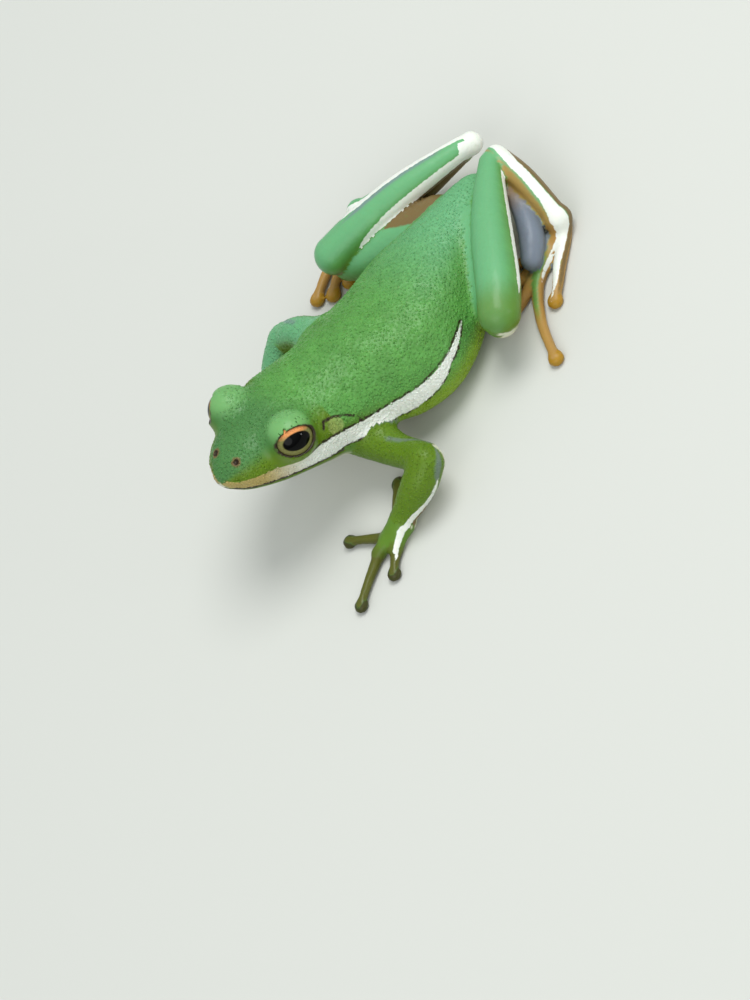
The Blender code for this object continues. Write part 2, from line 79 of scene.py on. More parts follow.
# Head sections in the head's frame: distance back, half width, top, widest level and bottom
HEAD_SECTIONS = (
    (-0.35, 1.30, -0.40, -1.50, -2.35),
    (0.25, 2.20, 0.35, -1.35, -2.85),
    (0.90, 3.10, 1.05, -1.35, -3.25),
    (2.00, 4.00, 1.70, -1.45, -3.80),
    (3.60, 4.90, 2.30, -1.60, -4.45),
    (5.60, 5.80, 2.75, -1.80, -5.15),
    (8.00, 6.60, 3.10, -1.90, -5.90),
    (10.60, 7.25, 3.35, -1.90, -6.80),
    (13.20, 7.70, 3.40, -1.90, -7.70),
)
# Trunk sections: place along Y, shift to the left, half width, top, widest level, bottom and lean in degrees
TRUNK_SECTIONS = (
    (-7.4, 0.1, 8.4, 15.4, 7.8, 3.8, 17.0),
    (-4.0, 1.0, 9.5, 14.8, 5.9, 1.4, 11.0),
    (0.0, 1.9, 10.1, 13.6, 5.0, 0.2, 5.0),
    (4.5, 2.0, 9.7, 12.5, 4.6, -0.2, 0.0),
    (9.0, 1.4, 8.7, 11.4, 4.4, -0.2, 0.0),
    (13.5, 0.9, 6.6, 10.1, 4.5, 0.2, 0.0),
    (17.5, 0.7, 4.5, 8.9, 4.6, 1.1, 0.0),
    (20.8, 0.4, 3.2, 8.1, 5.0, 2.3, 0.0),
    (23.0, 0.2, 2.1, 7.3, 5.3, 3.7, 0.0),
)
VENT = Vector((0.1, 24.6, 5.6))

# Limb joints and the radius of the flesh there: each limb is a chain of (place, radius), and the hock is the
# soft skin in the bend between the shank and the tarsus
ARM = {
    "left": {
        "upper_arm": (((5.4, -10.6, 6.0), 2.9), ((10.2, -10.9, 5.4), 2.1), ((14.8, -10.7, 5.9), 1.95)),
        "forearm": (((15.9, -11.0, 5.8), 2.1), ((15.3, -13.5, 4.5), 2.2), ((13.7, -17.2, 2.4), 1.6)),
        "wrist": ((13.4, -18.2, 1.7), 1.45),
    },
    "right": {
        "upper_arm": (((-5.6, -2.4, 9.2), 2.7), ((-9.6, -2.7, 8.9), 2.25), ((-12.9, -3.4, 7.4), 2.0)),
        "forearm": (((-13.6, -4.0, 6.8), 2.1), ((-14.2, -6.9, 4.6), 2.2), ((-13.8, -10.8, 2.4), 1.6)),
        "wrist": ((-13.7, -11.8, 1.7), 1.45),
    },
}
PALM_HEIGHT = 0.95
PALM_RADIUS = 0.98
FINGER_RADII = (0.85, 0.70, 0.62)
FINGERS = {
    "left": (
        ((12.3, -18.4), (10.6, -16.3), (9.0, -13.8)),
        ((11.8, -20.4), (8.9, -21.6), (6.6, -22.6)),
        ((11.9, -22.6), (12.5, -26.0), (13.3, -29.2)),
        ((13.9, -21.3), (14.6, -22.6), (15.4, -24.1)),
    ),
    "right": (
        ((-12.9, -12.2), (-11.2, -10.6), (-9.7, -8.9)),
        ((-12.5, -13.8), (-10.3, -15.3), (-8.3, -16.3)),
        ((-13.5, -15.4), (-13.3, -17.6), (-13.5, -20.0)),
        ((-15.0, -14.8), (-16.4, -16.2), (-17.8, -17.8)),
    ),
}
LEG = {
    "left": {
        "thigh": (
            ((4.0, 18.6, 5.0), 3.0),
            ((8.6, 14.2, 4.8), 3.0),
            ((12.2, 10.4, 4.8), 2.6),
            ((14.2, 8.6, 5.0), 2.2),
        ),
        "shank": (
            ((15.8, 8.6, 7.5), 2.6),
            ((13.4, 12.0, 7.7), 2.75),
            ((8.9, 17.0, 7.5), 2.65),
            ((5.0, 21.7, 7.2), 2.15),
            ((1.9, 26.0, 6.9), 1.5),
        ),
        "tarsus": (
            ((1.8, 27.1, 6.5), 1.55),
            ((5.9, 26.1, 5.2), 1.6),
            ((9.7, 24.5, 3.4), 1.55),
            ((11.5, 23.6, 2.1), 1.5),
        ),
        "hock": (
            ((2.6, 25.6, 5.0), 0.9),
            ((7.0, 22.9, 3.7), 1.35),
            ((10.0, 20.2, 3.0), 1.6),
            ((11.6, 17.4, 2.6), 1.3),
        ),
    },
    "right": {
        "thigh": (
            ((-3.6, 18.0, 4.4), 2.9),
            ((-8.0, 13.8, 3.9), 3.0),
            ((-11.5, 10.5, 3.6), 2.7),
            ((-13.7, 9.1, 3.5), 2.3),
        ),
        "shank": (
            ((-14.5, 8.8, 5.8), 2.55),
            ((-11.4, 13.9, 6.8), 2.5),
            ((-8.2, 19.6, 7.1), 2.2),
            ((-4.0, 26.7, 6.5), 1.5),
        ),
        "tarsus": (((-3.6, 27.9, 5.9), 1.5), ((-10.0, 21.9, 4.4), 1.4), ((-17.7, 15.9, 2.4), 1.4)),
        "hock": (
            ((-4.5, 26.5, 5.0), 0.9),
            ((-9.0, 20.5, 3.6), 1.35),
            ((-13.0, 17.0, 3.0), 1.6),
            ((-14.5, 14.5, 2.6), 1.3),
        ),
    },
}
TOE_RADII = (0.95, 0.82, 0.66, 0.60)
TOES = {
    "left": (
        ((11.2, 22.6), (10.2, 18.9), (8.8, 17.2), (7.6, 16.3)),
        ((11.4, 22.0), (10.8, 17.2), (9.8, 14.0), (8.8, 12.2)),
        ((11.7, 21.8), (11.7, 16.4), (12.0, 12.6), (11.6, 9.6)),
        ((12.0, 21.6), (12.6, 15.9), (16.0, 11.4), (21.0, 7.6)),
        ((12.6, 22.2), (14.4, 18.4), (15.8, 15.8), (16.4, 14.2)),
    ),
    "right": (
        ((-18.0, 14.9), (-16.4, 13.2), (-15.2, 12.9), (-14.2, 12.9)),
        ((-18.3, 14.6), (-16.9, 11.6), (-15.9, 9.2), (-15.0, 7.5)),
        ((-18.6, 14.6), (-18.0, 11.0), (-17.2, 7.8), (-16.3, 5.2)),
        ((-19.0, 14.8), (-19.3, 11.0), (-19.0, 7.4), (-18.3, 3.9)),
        ((-19.3, 15.2), (-20.8, 12.8), (-21.1, 11.6), (-21.0, 10.5)),
    ),
}
PAD_RADIUS = 1.04
PAD_EDGE = 0.62
PAD_HEIGHT = 0.56
DIGIT_HEIGHT = 0.75
WEB_REACHES = (0.6, 0.6, 0.6, 0.4)
WEB_RADIUS = 0.28
WEB_HEIGHT = 0.42

# How softly each kind of flesh flows into what it meets
BLENDS = {
    "upper_arm": 1.5,
    "forearm": 0.8,
    "palm": 0.6,
    "finger": 0.5,
    "thigh": 1.3,
    "shank": 0.35,
    "tarsus": 0.35,
    "toe": 0.5,
    "web": 0.35,
    "pad": 0.4,
    "hock": 0.5,
}

# Where the mouth's line runs on each side: distance back and height in the head's frame
MOUTH_LINE = ((0.0, -2.35), (0.9, -2.45), (3.6, -2.9), (5.6, -3.25), (8.0, -3.7), (10.6, -4.3), (13.2, -5.0))
MOUTH_DEPTH = 0.16
MOUTH_WIDTH = 0.17

# How far the rim of each ear disc stands up and its middle lies in
EAR_RIM = 0.07
EAR_DEPTH = 0.10

# The edge of the fold over the ear, back from the snout and up, in the head's frame
EAR_FOLD = ((11.3, 0.0), (11.9, 0.65), (13.1, 0.55), (14.4, 0.0), (15.4, -0.8), (16.2, -1.6))

CAMERA_PLACE = Vector((403.11, -94.48, 434.56))
CAMERA_RIGHT = Vector((0.68639, 0.48772, -0.53944))
CAMERA_UP = Vector((-0.28627, 0.86309, 0.41609))
CAMERA_LENS = 176.84

# The body's pale stripe: place along the body and degrees round it of its upper and lower edges
STRIPE_UPPER = (
    (0.2, 35.0),
    (0.7, 8.0),
    (3.1, 8.0),
    (6.4, 6.0),
    (10.5, 5.0),
    (13.4, 1.0),
    (16.3, 3.0),
    (18.5, 6.0),
    (21.4, 10.0),
    (24.5, 13.0),
    (27.5, 14.0),
    (29.7, 15.0),
    (32.9, 16.0),
    (35.3, 17.0),
)
STRIPE_LOWER = (
    (0.9, -17.0),
    (2.9, -14.0),
    (5.8, -15.0),
    (8.6, -13.0),
    (12.2, -19.0),
    (14.8, -15.0),
    (16.8, -9.0),
    (19.3, -8.0),
    (22.2, -6.0),
    (24.3, -2.0),
    (26.5, 1.0),
    (28.1, 4.0),
    (29.5, 8.0),
    (32.3, 11.0),
    (35.2, 16.0),
)

# Bands along the limbs: share along the limb, middle and half width in degrees round it
STRIPES = {
    "forearm_left": (
        (0.1, -100, -6),
        (0.2, -106, 6),
        (0.42, -114, 12),
        (0.58, -109, 13),
        (0.75, -97, 14),
        (1.0, -85, 16),
    ),
    "palm_left_4": ((0.0, -60, 18), (0.27, -48, 20), (0.67, -45, 22), (1.0, -44, 22)),
    "finger_left_4": ((0.0, -44, 25), (0.29, -44, 20), (0.6, -40, -5)),
    "shank_left": ((0.06, 95, -5), (0.15, 95, 9), (0.8, 92, 12), (1.0, 90, 16)),
    "tarsus_left": ((0.0, -50, 30), (0.27, -22, 22), (0.49, -21, 22), (0.78, -21, 26), (1.0, -12, 40)),
    "toe_left_5": ((0.0, -12, 50), (0.41, 0, 46), (0.72, 8, 40), (1.0, 10, 10)),
    "toe_left_4": ((0.0, -46, 33), (0.37, -60, 15), (0.5, -70, -10)),
    "shank_right": ((0.1, 90, -8), (0.22, 87, 14), (0.39, 84, 21), (0.97, 84, 23), (1.0, 75, 60)),
    "tarsus_right": (
        (0.0, -60, 181),
        (0.03, -40, 90),
        (0.07, 25, 40),
        (0.1, 25, 25),
        (0.19, 25, 17),
        (0.44, 8, 15),
        (0.65, 6, 15),
        (0.88, 9, 15),
        (1.0, -6, 15),
    ),
    "toe_right_5": ((0.0, -6, 30), (0.4, 0, 25), (0.7, 0, -5)),
}
# Painted highlight: a pale lilac band along the outer edge of the left upper arm and elbow, where light
# catches its outline.
ARM_EDGE_HIGHLIGHTS = {
    "upper_arm_left": ((0.3, -10, -8), (0.45, -12, 9), (0.7, -25, 11), (0.89, -55, 13), (1.0, -72, 14)),
    "forearm_left": ((0.0, -90, 15), (0.15, -98, 13), (0.3, -108, -8)),
}
BROWN_BANDS = {
    "forearm_left": ((0.3, -132, -5), (0.45, -134, 8), (1.0, -112, 10)),
    "shank_left": ((0.05, 122, 0), (0.2, 124, 17), (1.0, 120, 18)),
    "tarsus_left": ((0.0, -80, 20), (0.3, -66, 22), (1.0, -80, 26)),
    "toe_left_5": ((0.0, -80, 20), (0.8, -60, 20), (1.0, -60, -5)),
    # Painted shadow in the crease between the right thigh and the shank.
    "thigh_right": ((0.0, 12, 46), (0.3, 20, 32), (0.5, 28, 20), (0.7, 35, 13), (0.88, 38, -8)),
    "shank_right": ((0.05, 112, 5), (0.2, 124, 26), (0.5, 134, 34), (1.0, 142, 36)),
    # Painted shadow over the whole right hock, in the gap between the right shank and tarsus.
    "hock_right": ((0.0, 0, 181), (1.0, 0, 181)),
    "tarsus_right": ((0.05, -20, 15), (0.2, -12, 18), (0.44, -30, 20), (0.88, -28, 20), (1.0, -40, 18)),
}
INNER_BANDS = {
    "tarsus_left": ((0.0, 10, 20), (0.2, 45, 48), (1.0, 60, 50)),
    "tarsus_right": ((0.0, -60, 10), (0.2, -60, 25), (1.0, -70, 30)),
}
OUTER_LINES = {"shank_right": ((0.1, -36, -8), (0.3, -33, 17), (0.9, -31, 19), (1.0, -30, 26))}
# Painted shade: a lilac band on the right shank's outer side, for the shadow in the gap between the shank and
# the tarsus.
OUTER_SHADE_BANDS = {"shank_right": ((0.1, -10, -8), (0.3, -9, 7), (0.85, -8, 7), (0.95, -8, -8))}
FAR_OFF = 2.0

# Patterns in the skin: patches of about 2 mm, and ragged edges and creases of about 0.5 and 1 mm
MOTTLE_PER_METRE = 450.0
RAGGED_PER_METRE = 1900.0
CREASES_PER_METRE = 1100.0
IRIS_FLECKS = 60.0

# The painted relief of the skin against the height of its grains
BUMP_TO_RELIEF = 1.6

# The skin's tones in the order in which they are painted over each other
SKIN_TONES = (
    "back_cool",
    "head",
    "olive",
    "yellow",
    "lid",
    "ear",
    "belly",
    "lilac",
    "digit",
    "pad",
    "orange",
    "gold",
)

# More grains than fit, so that their spacing alone decides how many there are
GRAINS_PER_SQUARE_METRE = 2.0e7

Flesh = namedtuple("Flesh", "name centres radii along heading blend middle reach")


def linear(code):
    """An sRGB hex colour as linear red, green and blue."""
    parts = [int(code[i : i + 2], 16) / 255 for i in (1, 3, 5)]
    return tuple(part / 12.92 if part <= 0.04045 else ((part + 0.055) / 1.055) ** 2.4 for part in parts)


def colour(name, code, description):
    made = {"name": name, "description": description, "default": linear(code)}
    return FloatVectorProperty(subtype="COLOR", size=3, min=0, max=1, **made)


def length(name, size, description):
    made = {"name": name, "description": description, "default": size * METRES}
    return FloatProperty(unit="LENGTH", precision=5, min=0, **made)


class FrogSizes(bpy.types.PropertyGroup):
    skin_cell: length("Skin cell", 0.36, "Size of the cells that the skin is drawn in")
    eye_radius: length("Eye radius", 2.6, "Radius of each eyeball")
    lid_radius: length("Lid radius", 3.15, "Radius of the raised lids round each eye")
    lid_setback: length("Lid setback", 0.3, "How far the lids sit behind the eye's middle")
    pupil_length: length("Pupil length", 3.5, "Length of the pupil, along the head")
    pupil_height: length("Pupil height", 2.15, "Height of the pupil")
    grain: length("Grain", 0.34, "Distance between two grains of the skin")
    grain_relief: length("Grain relief", 0.075, "Height of the grains over the skin")
    wrinkle: length("Wrinkle", 0.16, "Depth of the fine folds over the back")


class FrogColours(bpy.types.PropertyGroup):
    back: colour("Back", "#5a9846", "Green of the back")
    # Partly painted light: besides the skin's own bluer green, this stands in for a bluish sky sheen on
    # upward-facing skin, and for sky light on the right arm's top.
    back_cool: colour("Cool back", "#68ab7a", "Bluer green towards the rump and on top of the legs")
    # Painted shade: the darker green over the top of the head stands in for the shade on the forward-facing
    # head.
    head: colour("Head", "#467a3e", "Darker green of the head")
    # Partly painted shade: besides the skin's own yellower green on the lower sides, this stands in for
    # yellow-green shade on downward-facing skin, and it covers the left arm all round as painted shade.
    olive: colour("Olive", "#597809", "Olive green of the cheeks, the arms and the lower flanks")
    # Painted light: a lighter green on the upper lids, growing towards their tops.
    lid: colour("Lid", "#8ccb7e", "Light green over the eyes")
    yellow: colour("Yellow flank", "#7f9d18", "Yellow green of the flanks and the groin")
    belly: colour("Belly", "#d6d6bd", "Cream white of the underside")
    stripe: colour("Stripe", "#e4e8de", "White of the stripes")
    stripe_snout: colour("Snout stripe", "#a8975a", "Tan of the stripe at the snout")
    dark_line: colour("Dark line", "#2b2010", "Dark brown line along the stripes and the mouth")
    # Partly painted shade: the brown beside the leg stripes is the skin's own, but on the right thigh and
    # right hock it stands in for shadow in the creases between the thigh, shank and tarsus.
    brown: colour("Brown", "#75613a", "Brown band beside the stripes of the legs")
    # Besides the webs and hidden skin, the lilac paints a highlight along the left arm's outer edge and a
    # band of shade on the right shank.
    lilac: colour("Lilac", "#727c88", "Grey lilac of the webs and the hidden skin")
    orange: colour("Orange", "#a78243", "Orange brown of the feet")
    gold: colour("Gold", "#a47c20", "Gold of the toe pads")
    digit: colour("Digit", "#54581a", "Olive brown of the fingers")
    pad: colour("Pad", "#3b3c12", "Dark brown of the finger pads")
    ear: colour("Ear", "#93a45a", "Paler skin of the eardrum")
    pupil: colour("Pupil", "#030303", "Black of the pupil")
    iris: colour("Iris", "#7d7d48", "Olive gold of the lower iris")
    iris_edge: colour("Iris edge", "#e0955c", "Copper of the upper iris")
    floor: colour("Floor", "#c9cbc4", "Pale floor")


def millimetres(value):
    return value / METRES


def head_turn():
    return Euler((HEAD_PITCH, HEAD_ROLL, 0.0), "XYZ").to_matrix()


def head_point(place, side=1.0):
    """A place in the head's frame, on the left with side 1 and on the right with side -1."""
    return SNOUT + head_turn() @ Vector((place.x * side, place.y, place.z))


def head_direction(axis, side=1.0):
    return (head_turn() @ Vector((axis.x * side, axis.y, axis.z))).normalized()


def part_shift():
    """The step from the sums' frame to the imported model's, from the left eye's place in both."""
    low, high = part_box("eye_left")
    middle = (Vector(low) + Vector(high)) / 2 / METRES
    return np.array(middle - head_point(EYE_PLACE))


def spread(rows, steps):
    """Rows of numbers on a smooth curve through the given rows, with that many steps between two rows."""
    rows = np.array(rows, dtype=float)
    padded = np.vstack((rows[:1], rows, rows[-1:]))
    t = np.arange(steps)[:, None] / steps
    made = []
    for a, b, c, d in zip(padded, padded[1:], padded[2:], padded[3:]):
        curve = 2 * b + (c - a) * t + (2 * a - 5 * b + 4 * c - d) * t**2 + (3 * b - a - 3 * c + d) * t**3
        made.append(0.5 * curve)
    return np.vstack(made + [rows[-1:]])


def smooth_min(a, b, blend):
    near = np.maximum(blend - np.abs(a - b), 0.0) / blend
    return np.minimum(a, b) - near * near * blend / 4


def smooth_max(a, b, blend):
    return -smooth_min(-a, -b, blend)


def path_distance(points, path):
    """Each point's distance to a path of straight pieces."""
    nearest = np.full(len(points), 99.0)
    for start, end in zip(path, path[1:]):
        start, end = np.array(start), np.array(end)
        along = end - start
        share = np.clip((points - start) @ along / (along @ along), 0.0, 1.0)
        nearest = np.minimum(nearest, np.linalg.norm(points - start - share[:, None] * along, axis=1))
    return nearest


def fold_distance(side):
    """Each point's distance to the fold over the ear, seen from the side."""
    return path_distance(side[:, 1:], EAR_FOLD) + FAR_OFF * (side[:, 0] < 4.0)


class BodyShape:
    """The head and trunk as a smooth row of sections, from the snout to the vent."""

    def __init__(self):
        rows = []
        for back, half_width, top, widest, bottom in HEAD_SECTIONS:
            centre = head_point(Vector((0.0, back, widest)))
            size = (half_width, top - widest, widest - bottom)
            rows.append((*centre, *size, -math.degrees(HEAD_PITCH), math.degrees(HEAD_ROLL)))
        for i, (along, shift, half_width, top, widest, bottom, lean) in enumerate(TRUNK_SECTIONS):
            size = (half_width, top - widest, widest - bottom)
            rows.append((shift, along, widest, *size, lean, math.degrees(HEAD_ROLL) * max(0.0, 0.6 - i / 3)))
        table = spread(rows, 6)
        front = head_point(SNOUT_TIP)
        nose = [self.closing(table[0], front, share) for share in (0.0, 0.25, 0.5, 0.75)]
        rump = [self.closing(table[-1], VENT, share) for share in (0.85, 0.65, 0.4, 0.2, 0.0)]
        table = np.vstack((*nose, table, *rump))
        self.centre = table[:, :3]
        self.size = table[:, 3:6]
        leans = [(-math.radians(row[6]), math.radians(row[7]), 0.0) for row in table]
        turns = [Euler(lean, "XYZ").to_matrix() for lean in leans]
        self.across = np.array([turn.col[0] for turn in turns])
        self.normal = np.array([turn.col[1] for turn in turns])
        self.up = np.array([turn.col[2] for turn in turns])
        self.offset = (self.centre * self.normal).sum(1)
        steps = np.linalg.norm(np.diff(self.centre, axis=0), axis=1)
        self.station = np.concatenate(([0.0], np.cumsum(steps)))

    @staticmethod
    def closing(row, pole, share):
        """A section that is the given share as large as the last one, on a round end closing at a pole."""
        made = row.copy()
        made[:3] = np.array(pole) + (row[:3] - np.array(pole)) * share**2
        made[3:6] = row[3:6] * share
        return made

    def place(self, points):
        """Each point's distance to the surface, its station along the body, and its place across and up."""
        behind = points @ self.normal.T - self.offset
        row = np.clip((behind > 0.0).sum(1) - 1, 0, len(self.centre) - 2)
        one = np.arange(len(points))
        near, far = behind[one, row], behind[one, row + 1]
        share = np.clip(near / np.maximum(near - far, 1e-6), 0.0, 1.0)[:, None]
        tables = (self.centre, self.across, self.up, self.size)
        centre, across, up, size = [part[row] * (1 - share) + part[row + 1] * share for part in tables]
        offset = points - centre
        u = (offset * across).sum(1)
        v = (offset * up).sum(1)
        out = np.hypot(u, v) + 1e-6
        above = v > 0.0
        fullness = np.where(above, FULLNESS_ABOVE, FULLNESS_BELOW)
        height = np.where(above, size[:, 1], size[:, 2])
        flat = np.abs(u) / out / np.maximum(size[:, 0], 1e-3)
        tall = np.abs(v) / out / np.maximum(height, 1e-3)
        edge = (flat**fullness + tall**fullness) ** (-1 / fullness)
        beyond = np.maximum(-behind[:, 0], 0.0) + np.maximum(behind[:, -1], 0.0)
        distance = out - edge
        distance = np.where(beyond > 0.0, np.hypot(np.maximum(distance, 0.0), beyond), distance)
        station = self.station[row] * (1 - share[:, 0]) + self.station[row + 1] * share[:, 0]
        return distance, station, u, v


def flesh(name, chain, kind, spacing=0.2):
    """A limb's flesh as a close row of balls along a smooth curve through the chain."""
    rows = spread([(*place, radius) for place, radius in chain], 8)
    steps = np.linalg.norm(np.diff(rows[:, :3], axis=0), axis=1)
    along = np.concatenate(([0.0], np.cumsum(steps)))
    at = np.linspace(0.0, along[-1], max(3, int(along[-1] / spacing)))
    dense = np.stack([np.interp(at, along, rows[:, i]) for i in range(4)], axis=1)
    heading = np.gradient(dense[:, :3], axis=0)
    heading /= np.linalg.norm(heading, axis=1)[:, None]
    return packed_flesh(name, dense[:, :3], dense[:, 3], at / along[-1], heading, kind)


def packed_flesh(name, centres, radii, along, heading, kind):
    middle = centres.mean(0)
    reach = (np.linalg.norm(centres - middle, axis=1) + radii).max()
    return Flesh(name, centres, radii, along, heading, BLENDS[kind], middle, reach)


def pad_flesh(name, path):
    """A digit's round pad: a flat ring of balls with one in the middle."""
    tip = np.array((*path[-1], PAD_HEIGHT))
    turns = np.linspace(0.0, 2 * math.pi, 16, endpoint=False)
    ring = np.stack((np.cos(turns), np.sin(turns), np.zeros(16)), axis=1) * (PAD_RADIUS - PAD_EDGE) + tip
    centres = np.vstack((ring, tip))
    heading = np.tile((0.0, 0.0, 1.0), (17, 1))
    return packed_flesh(name, centres, np.full(17, PAD_EDGE), np.ones(17), heading, "pad")


def web_flesh(name, near, far, reach):
    """A thin skin between two toes, with a hollow front edge."""
    curves = [spread(path, 10) for path in (near, far)]
    count = int(reach * (len(curves[0]) - 1))
    centres, shares = [], []
    for i in range(0, count + 1):
        a, b = curves[0][i], curves[1][i]
        across = max(2, int(np.linalg.norm(b - a) / 0.22))
        for j in range(across + 1):
            share = j / across
            hollow = 1.0 - 0.3 * 4 * share * (1 - share)
            if i <= count * hollow:
                centres.append((*(a * (1 - share) + b * share), WEB_HEIGHT))
                shares.append(i / count)
    centres = np.array(centres)
    heading = np.tile((0.0, 1.0, 0.0), (len(centres), 1))
    return packed_flesh(name, centres, np.full(len(centres), WEB_RADIUS), np.array(shares), heading, "web")


def all_flesh():
    """Every limb's flesh, in the order in which each flows into those before it."""
    made = []
    for side in ("left", "right"):
        arm, leg = ARM[side], LEG[side]
        made.append(flesh("upper_arm_" + side, arm["upper_arm"], "upper_arm"))
        made.append(flesh("forearm_" + side, arm["forearm"], "forearm"))
        made.append(flesh("thigh_" + side, leg["thigh"], "thigh"))
        made.append(flesh("shank_" + side, leg["shank"], "shank"))
        made.append(flesh("tarsus_" + side, leg["tarsus"], "tarsus"))
        for number, path in enumerate(FINGERS[side], 1):
            knuckle = ((*path[0], PALM_HEIGHT), PALM_RADIUS)
            made.append(flesh(f"palm_{side}_{number}", (arm["wrist"], knuckle), "palm"))
            chain = [((*point, DIGIT_HEIGHT), radius) for point, radius in zip(path, FINGER_RADII)]
            made.append(flesh(f"finger_{side}_{number}", chain, "finger"))
            made.append(pad_flesh(f"finger_pad_{side}_{number}", path))
        for number, path in enumerate(TOES[side], 1):
            chain = [leg["tarsus"][-1]]
            chain += [((*point, DIGIT_HEIGHT), radius) for point, radius in zip(path, TOE_RADII)]
            made.append(flesh(f"toe_{side}_{number}", chain, "toe"))
            made.append(pad_flesh(f"toe_pad_{side}_{number}", path))
        for number, (near, far, reach) in enumerate(zip(TOES[side], TOES[side][1:], WEB_REACHES), 1):
            made.append(web_flesh(f"web_{side}_{number}", near, far, reach))
        made.append(flesh("hock_" + side, leg["hock"], "hock"))
    return made


def ball_distances(points, limb, picked):
    """Distances from points to the surfaces of the picked balls of a limb."""
    centres = limb.centres[picked]
    squares = (points**2).sum(1)[:, None] + (centres**2).sum(1) - 2 * points @ centres.T
    return np.sqrt(np.maximum(squares, 0.0)) - limb.radii[picked]


class SkinShape:
    """The whole frog's surface as one field, below zero inside it."""

    block = 4.8
    margin = 2.6

    def __init__(self, sizes):
        self.sizes = sizes
        self.body = BodyShape()
        self.limbs = all_flesh()
        self.turn = np.array(head_turn())
        self.snout = np.array(SNOUT)
        self.eyes = []
        for side in (1.0, -1.0):
            axis = np.array((EYE_AXIS.x * side, EYE_AXIS.y, EYE_AXIS.z))
            forward = np.array((0.0, -1.0, 0.0)) + axis * axis[1]
            forward /= np.linalg.norm(forward)
            up = np.cross(forward, axis) * side
            level = forward * math.cos(EYE_TILT) + up * math.sin(EYE_TILT)
            across = up * math.cos(EYE_TILT) - forward * math.sin(EYE_TILT)
            self.eyes.append((np.array((EYE_PLACE.x * side, EYE_PLACE.y, EYE_PLACE.z)), axis, level, across))

    def groups(self, points):
        """Points by the block of space they lie in, with that block's middle."""
        cells = np.floor(points / self.block).astype(int)
        keys, where = np.unique(cells, axis=0, return_inverse=True)
        where = where.reshape(-1)
        order = np.argsort(where, kind="stable")
        ends = np.cumsum(np.bincount(where))
        for key, start, end in zip(keys, np.concatenate(([0], ends[:-1])), ends):
            yield order[start:end], (key + 0.5) * self.block

    def near_balls(self, limb, middle):
        reach = self.block * 0.87 + self.margin
        if np.linalg.norm(limb.middle - middle) > limb.reach + reach:
            return None
        picked = np.flatnonzero(np.linalg.norm(limb.centres - middle, axis=1) - limb.radii < reach)
        return picked if len(picked) else None

    def field(self, points):
        values = np.empty(len(points))
        for picked, middle in self.groups(points):
            for start in range(0, len(picked), 8000):
                some = picked[start : start + 8000]
                values[some] = self.block_field(points[some], middle)
        return values

    def block_field(self, points, middle):
        value = self.body.place(points)[0]
        head = self.head_places(points)
        near_head = head[:, 1].min() < 18.0
        if near_head:
            value = self.with_lids(value, head)
        for limb in self.limbs:
            picked = self.near_balls(limb, middle)
            if picked is not None:
                value = smooth_min(value, ball_distances(points, limb, picked).min(1), limb.blend)
        if near_head:
            value = self.with_features(value, head)
        return smooth_max(value, -points[:, 2], 0.12)

    def head_places(self, points):
        return (points - self.snout) @ self.turn

    def with_lids(self, value, head):
        lid = millimetres(self.sizes.lid_radius)
        setback = millimetres(self.sizes.lid_setback)
        for centre, axis, _, _ in self.eyes:
            dome = np.linalg.norm(head - (centre - axis * setback), axis=1) - lid
            value = smooth_min(value, dome, 1.1)
        return value

    def opening(self, head, eye):
        """How far outside the eye's opening each point lies, and its distance to the eye's middle."""
        centre, axis, forward, up = eye
        offset = head - centre
        out = np.linalg.norm(offset, axis=1) + 1e-6
        along = offset @ forward / out
        height = offset @ up / out
        depth = offset @ axis / out
        oval = np.hypot(along / 0.86, height / np.where(height > 0.0, 0.60, 0.66))
        edge = np.where(depth > 0.0, (oval - 1.0) * 0.75 * out, 3.0)
        return edge, out

    def opening_gap(self, head):
        """How far each point lies outside the nearer eye's opening, and far off behind or beside the head."""
        gaps = []
        for eye in self.eyes:
            edge, out = self.opening(head, eye)
            gaps.append(edge + np.maximum(out - millimetres(self.sizes.lid_radius) - 0.25, 0.0))
        return np.min(gaps, axis=0)

    def with_features(self, value, head):
        """The eye sockets and openings, nostrils, mouth, ears and the folds over them."""
        radius = millimetres(self.sizes.eye_radius)
        side = np.abs(head) * (1.0, 0.0, 0.0) + head * (0.0, 1.0, 1.0)
        line = np.interp(head[:, 1], *zip(*MOUTH_LINE))
        below = head[:, 2] - line
        front = np.clip((13.8 - head[:, 1]) / 1.5, 0.0, 1.0)
        value = value + MOUTH_DEPTH * front * np.exp(-((below / MOUTH_WIDTH) ** 2))
        jaw = np.clip(-below / 0.5, 0.0, 1.0) * np.clip((13.0 - head[:, 1]) / 4.0, 0.0, 1.0)
        value = value + 0.12 * jaw
        ear = np.linalg.norm(side - np.array(EAR_PLACE), axis=1)
        value = value - EAR_RIM * np.exp(-(((ear - 1.25) / 0.22) ** 2))
        value = value + EAR_DEPTH * np.clip(1.15 - ear, 0.0, 0.3) / 0.3
        fold = fold_distance(side)
        value = value + 0.16 * np.exp(-((fold / 0.22) ** 2)) - 0.10 * np.exp(-((fold / 0.9) ** 2))
        nostril = np.linalg.norm(side - np.array(NOSTRIL_PLACE), axis=1)
        value = value - 0.12 * np.exp(-((nostril / 0.6) ** 2))
        value = smooth_max(value, 0.36 - nostril, 0.12)
        for eye in self.eyes:
            edge, out = self.opening(head, eye)
            value = smooth_max(value, radius - 0.04 - out, 0.03)
            hole = np.maximum(edge, out - radius - 1.6)
            value = smooth_max(value, -hole, 0.14)
        return value

    def slopes(self, points, value, step=0.02):
        slopes = np.empty_like(points)
        for i in range(3):
            moved = points.copy()
            moved[:, i] += step
            slopes[:, i] = (self.field(moved) - value) / step
        return slopes

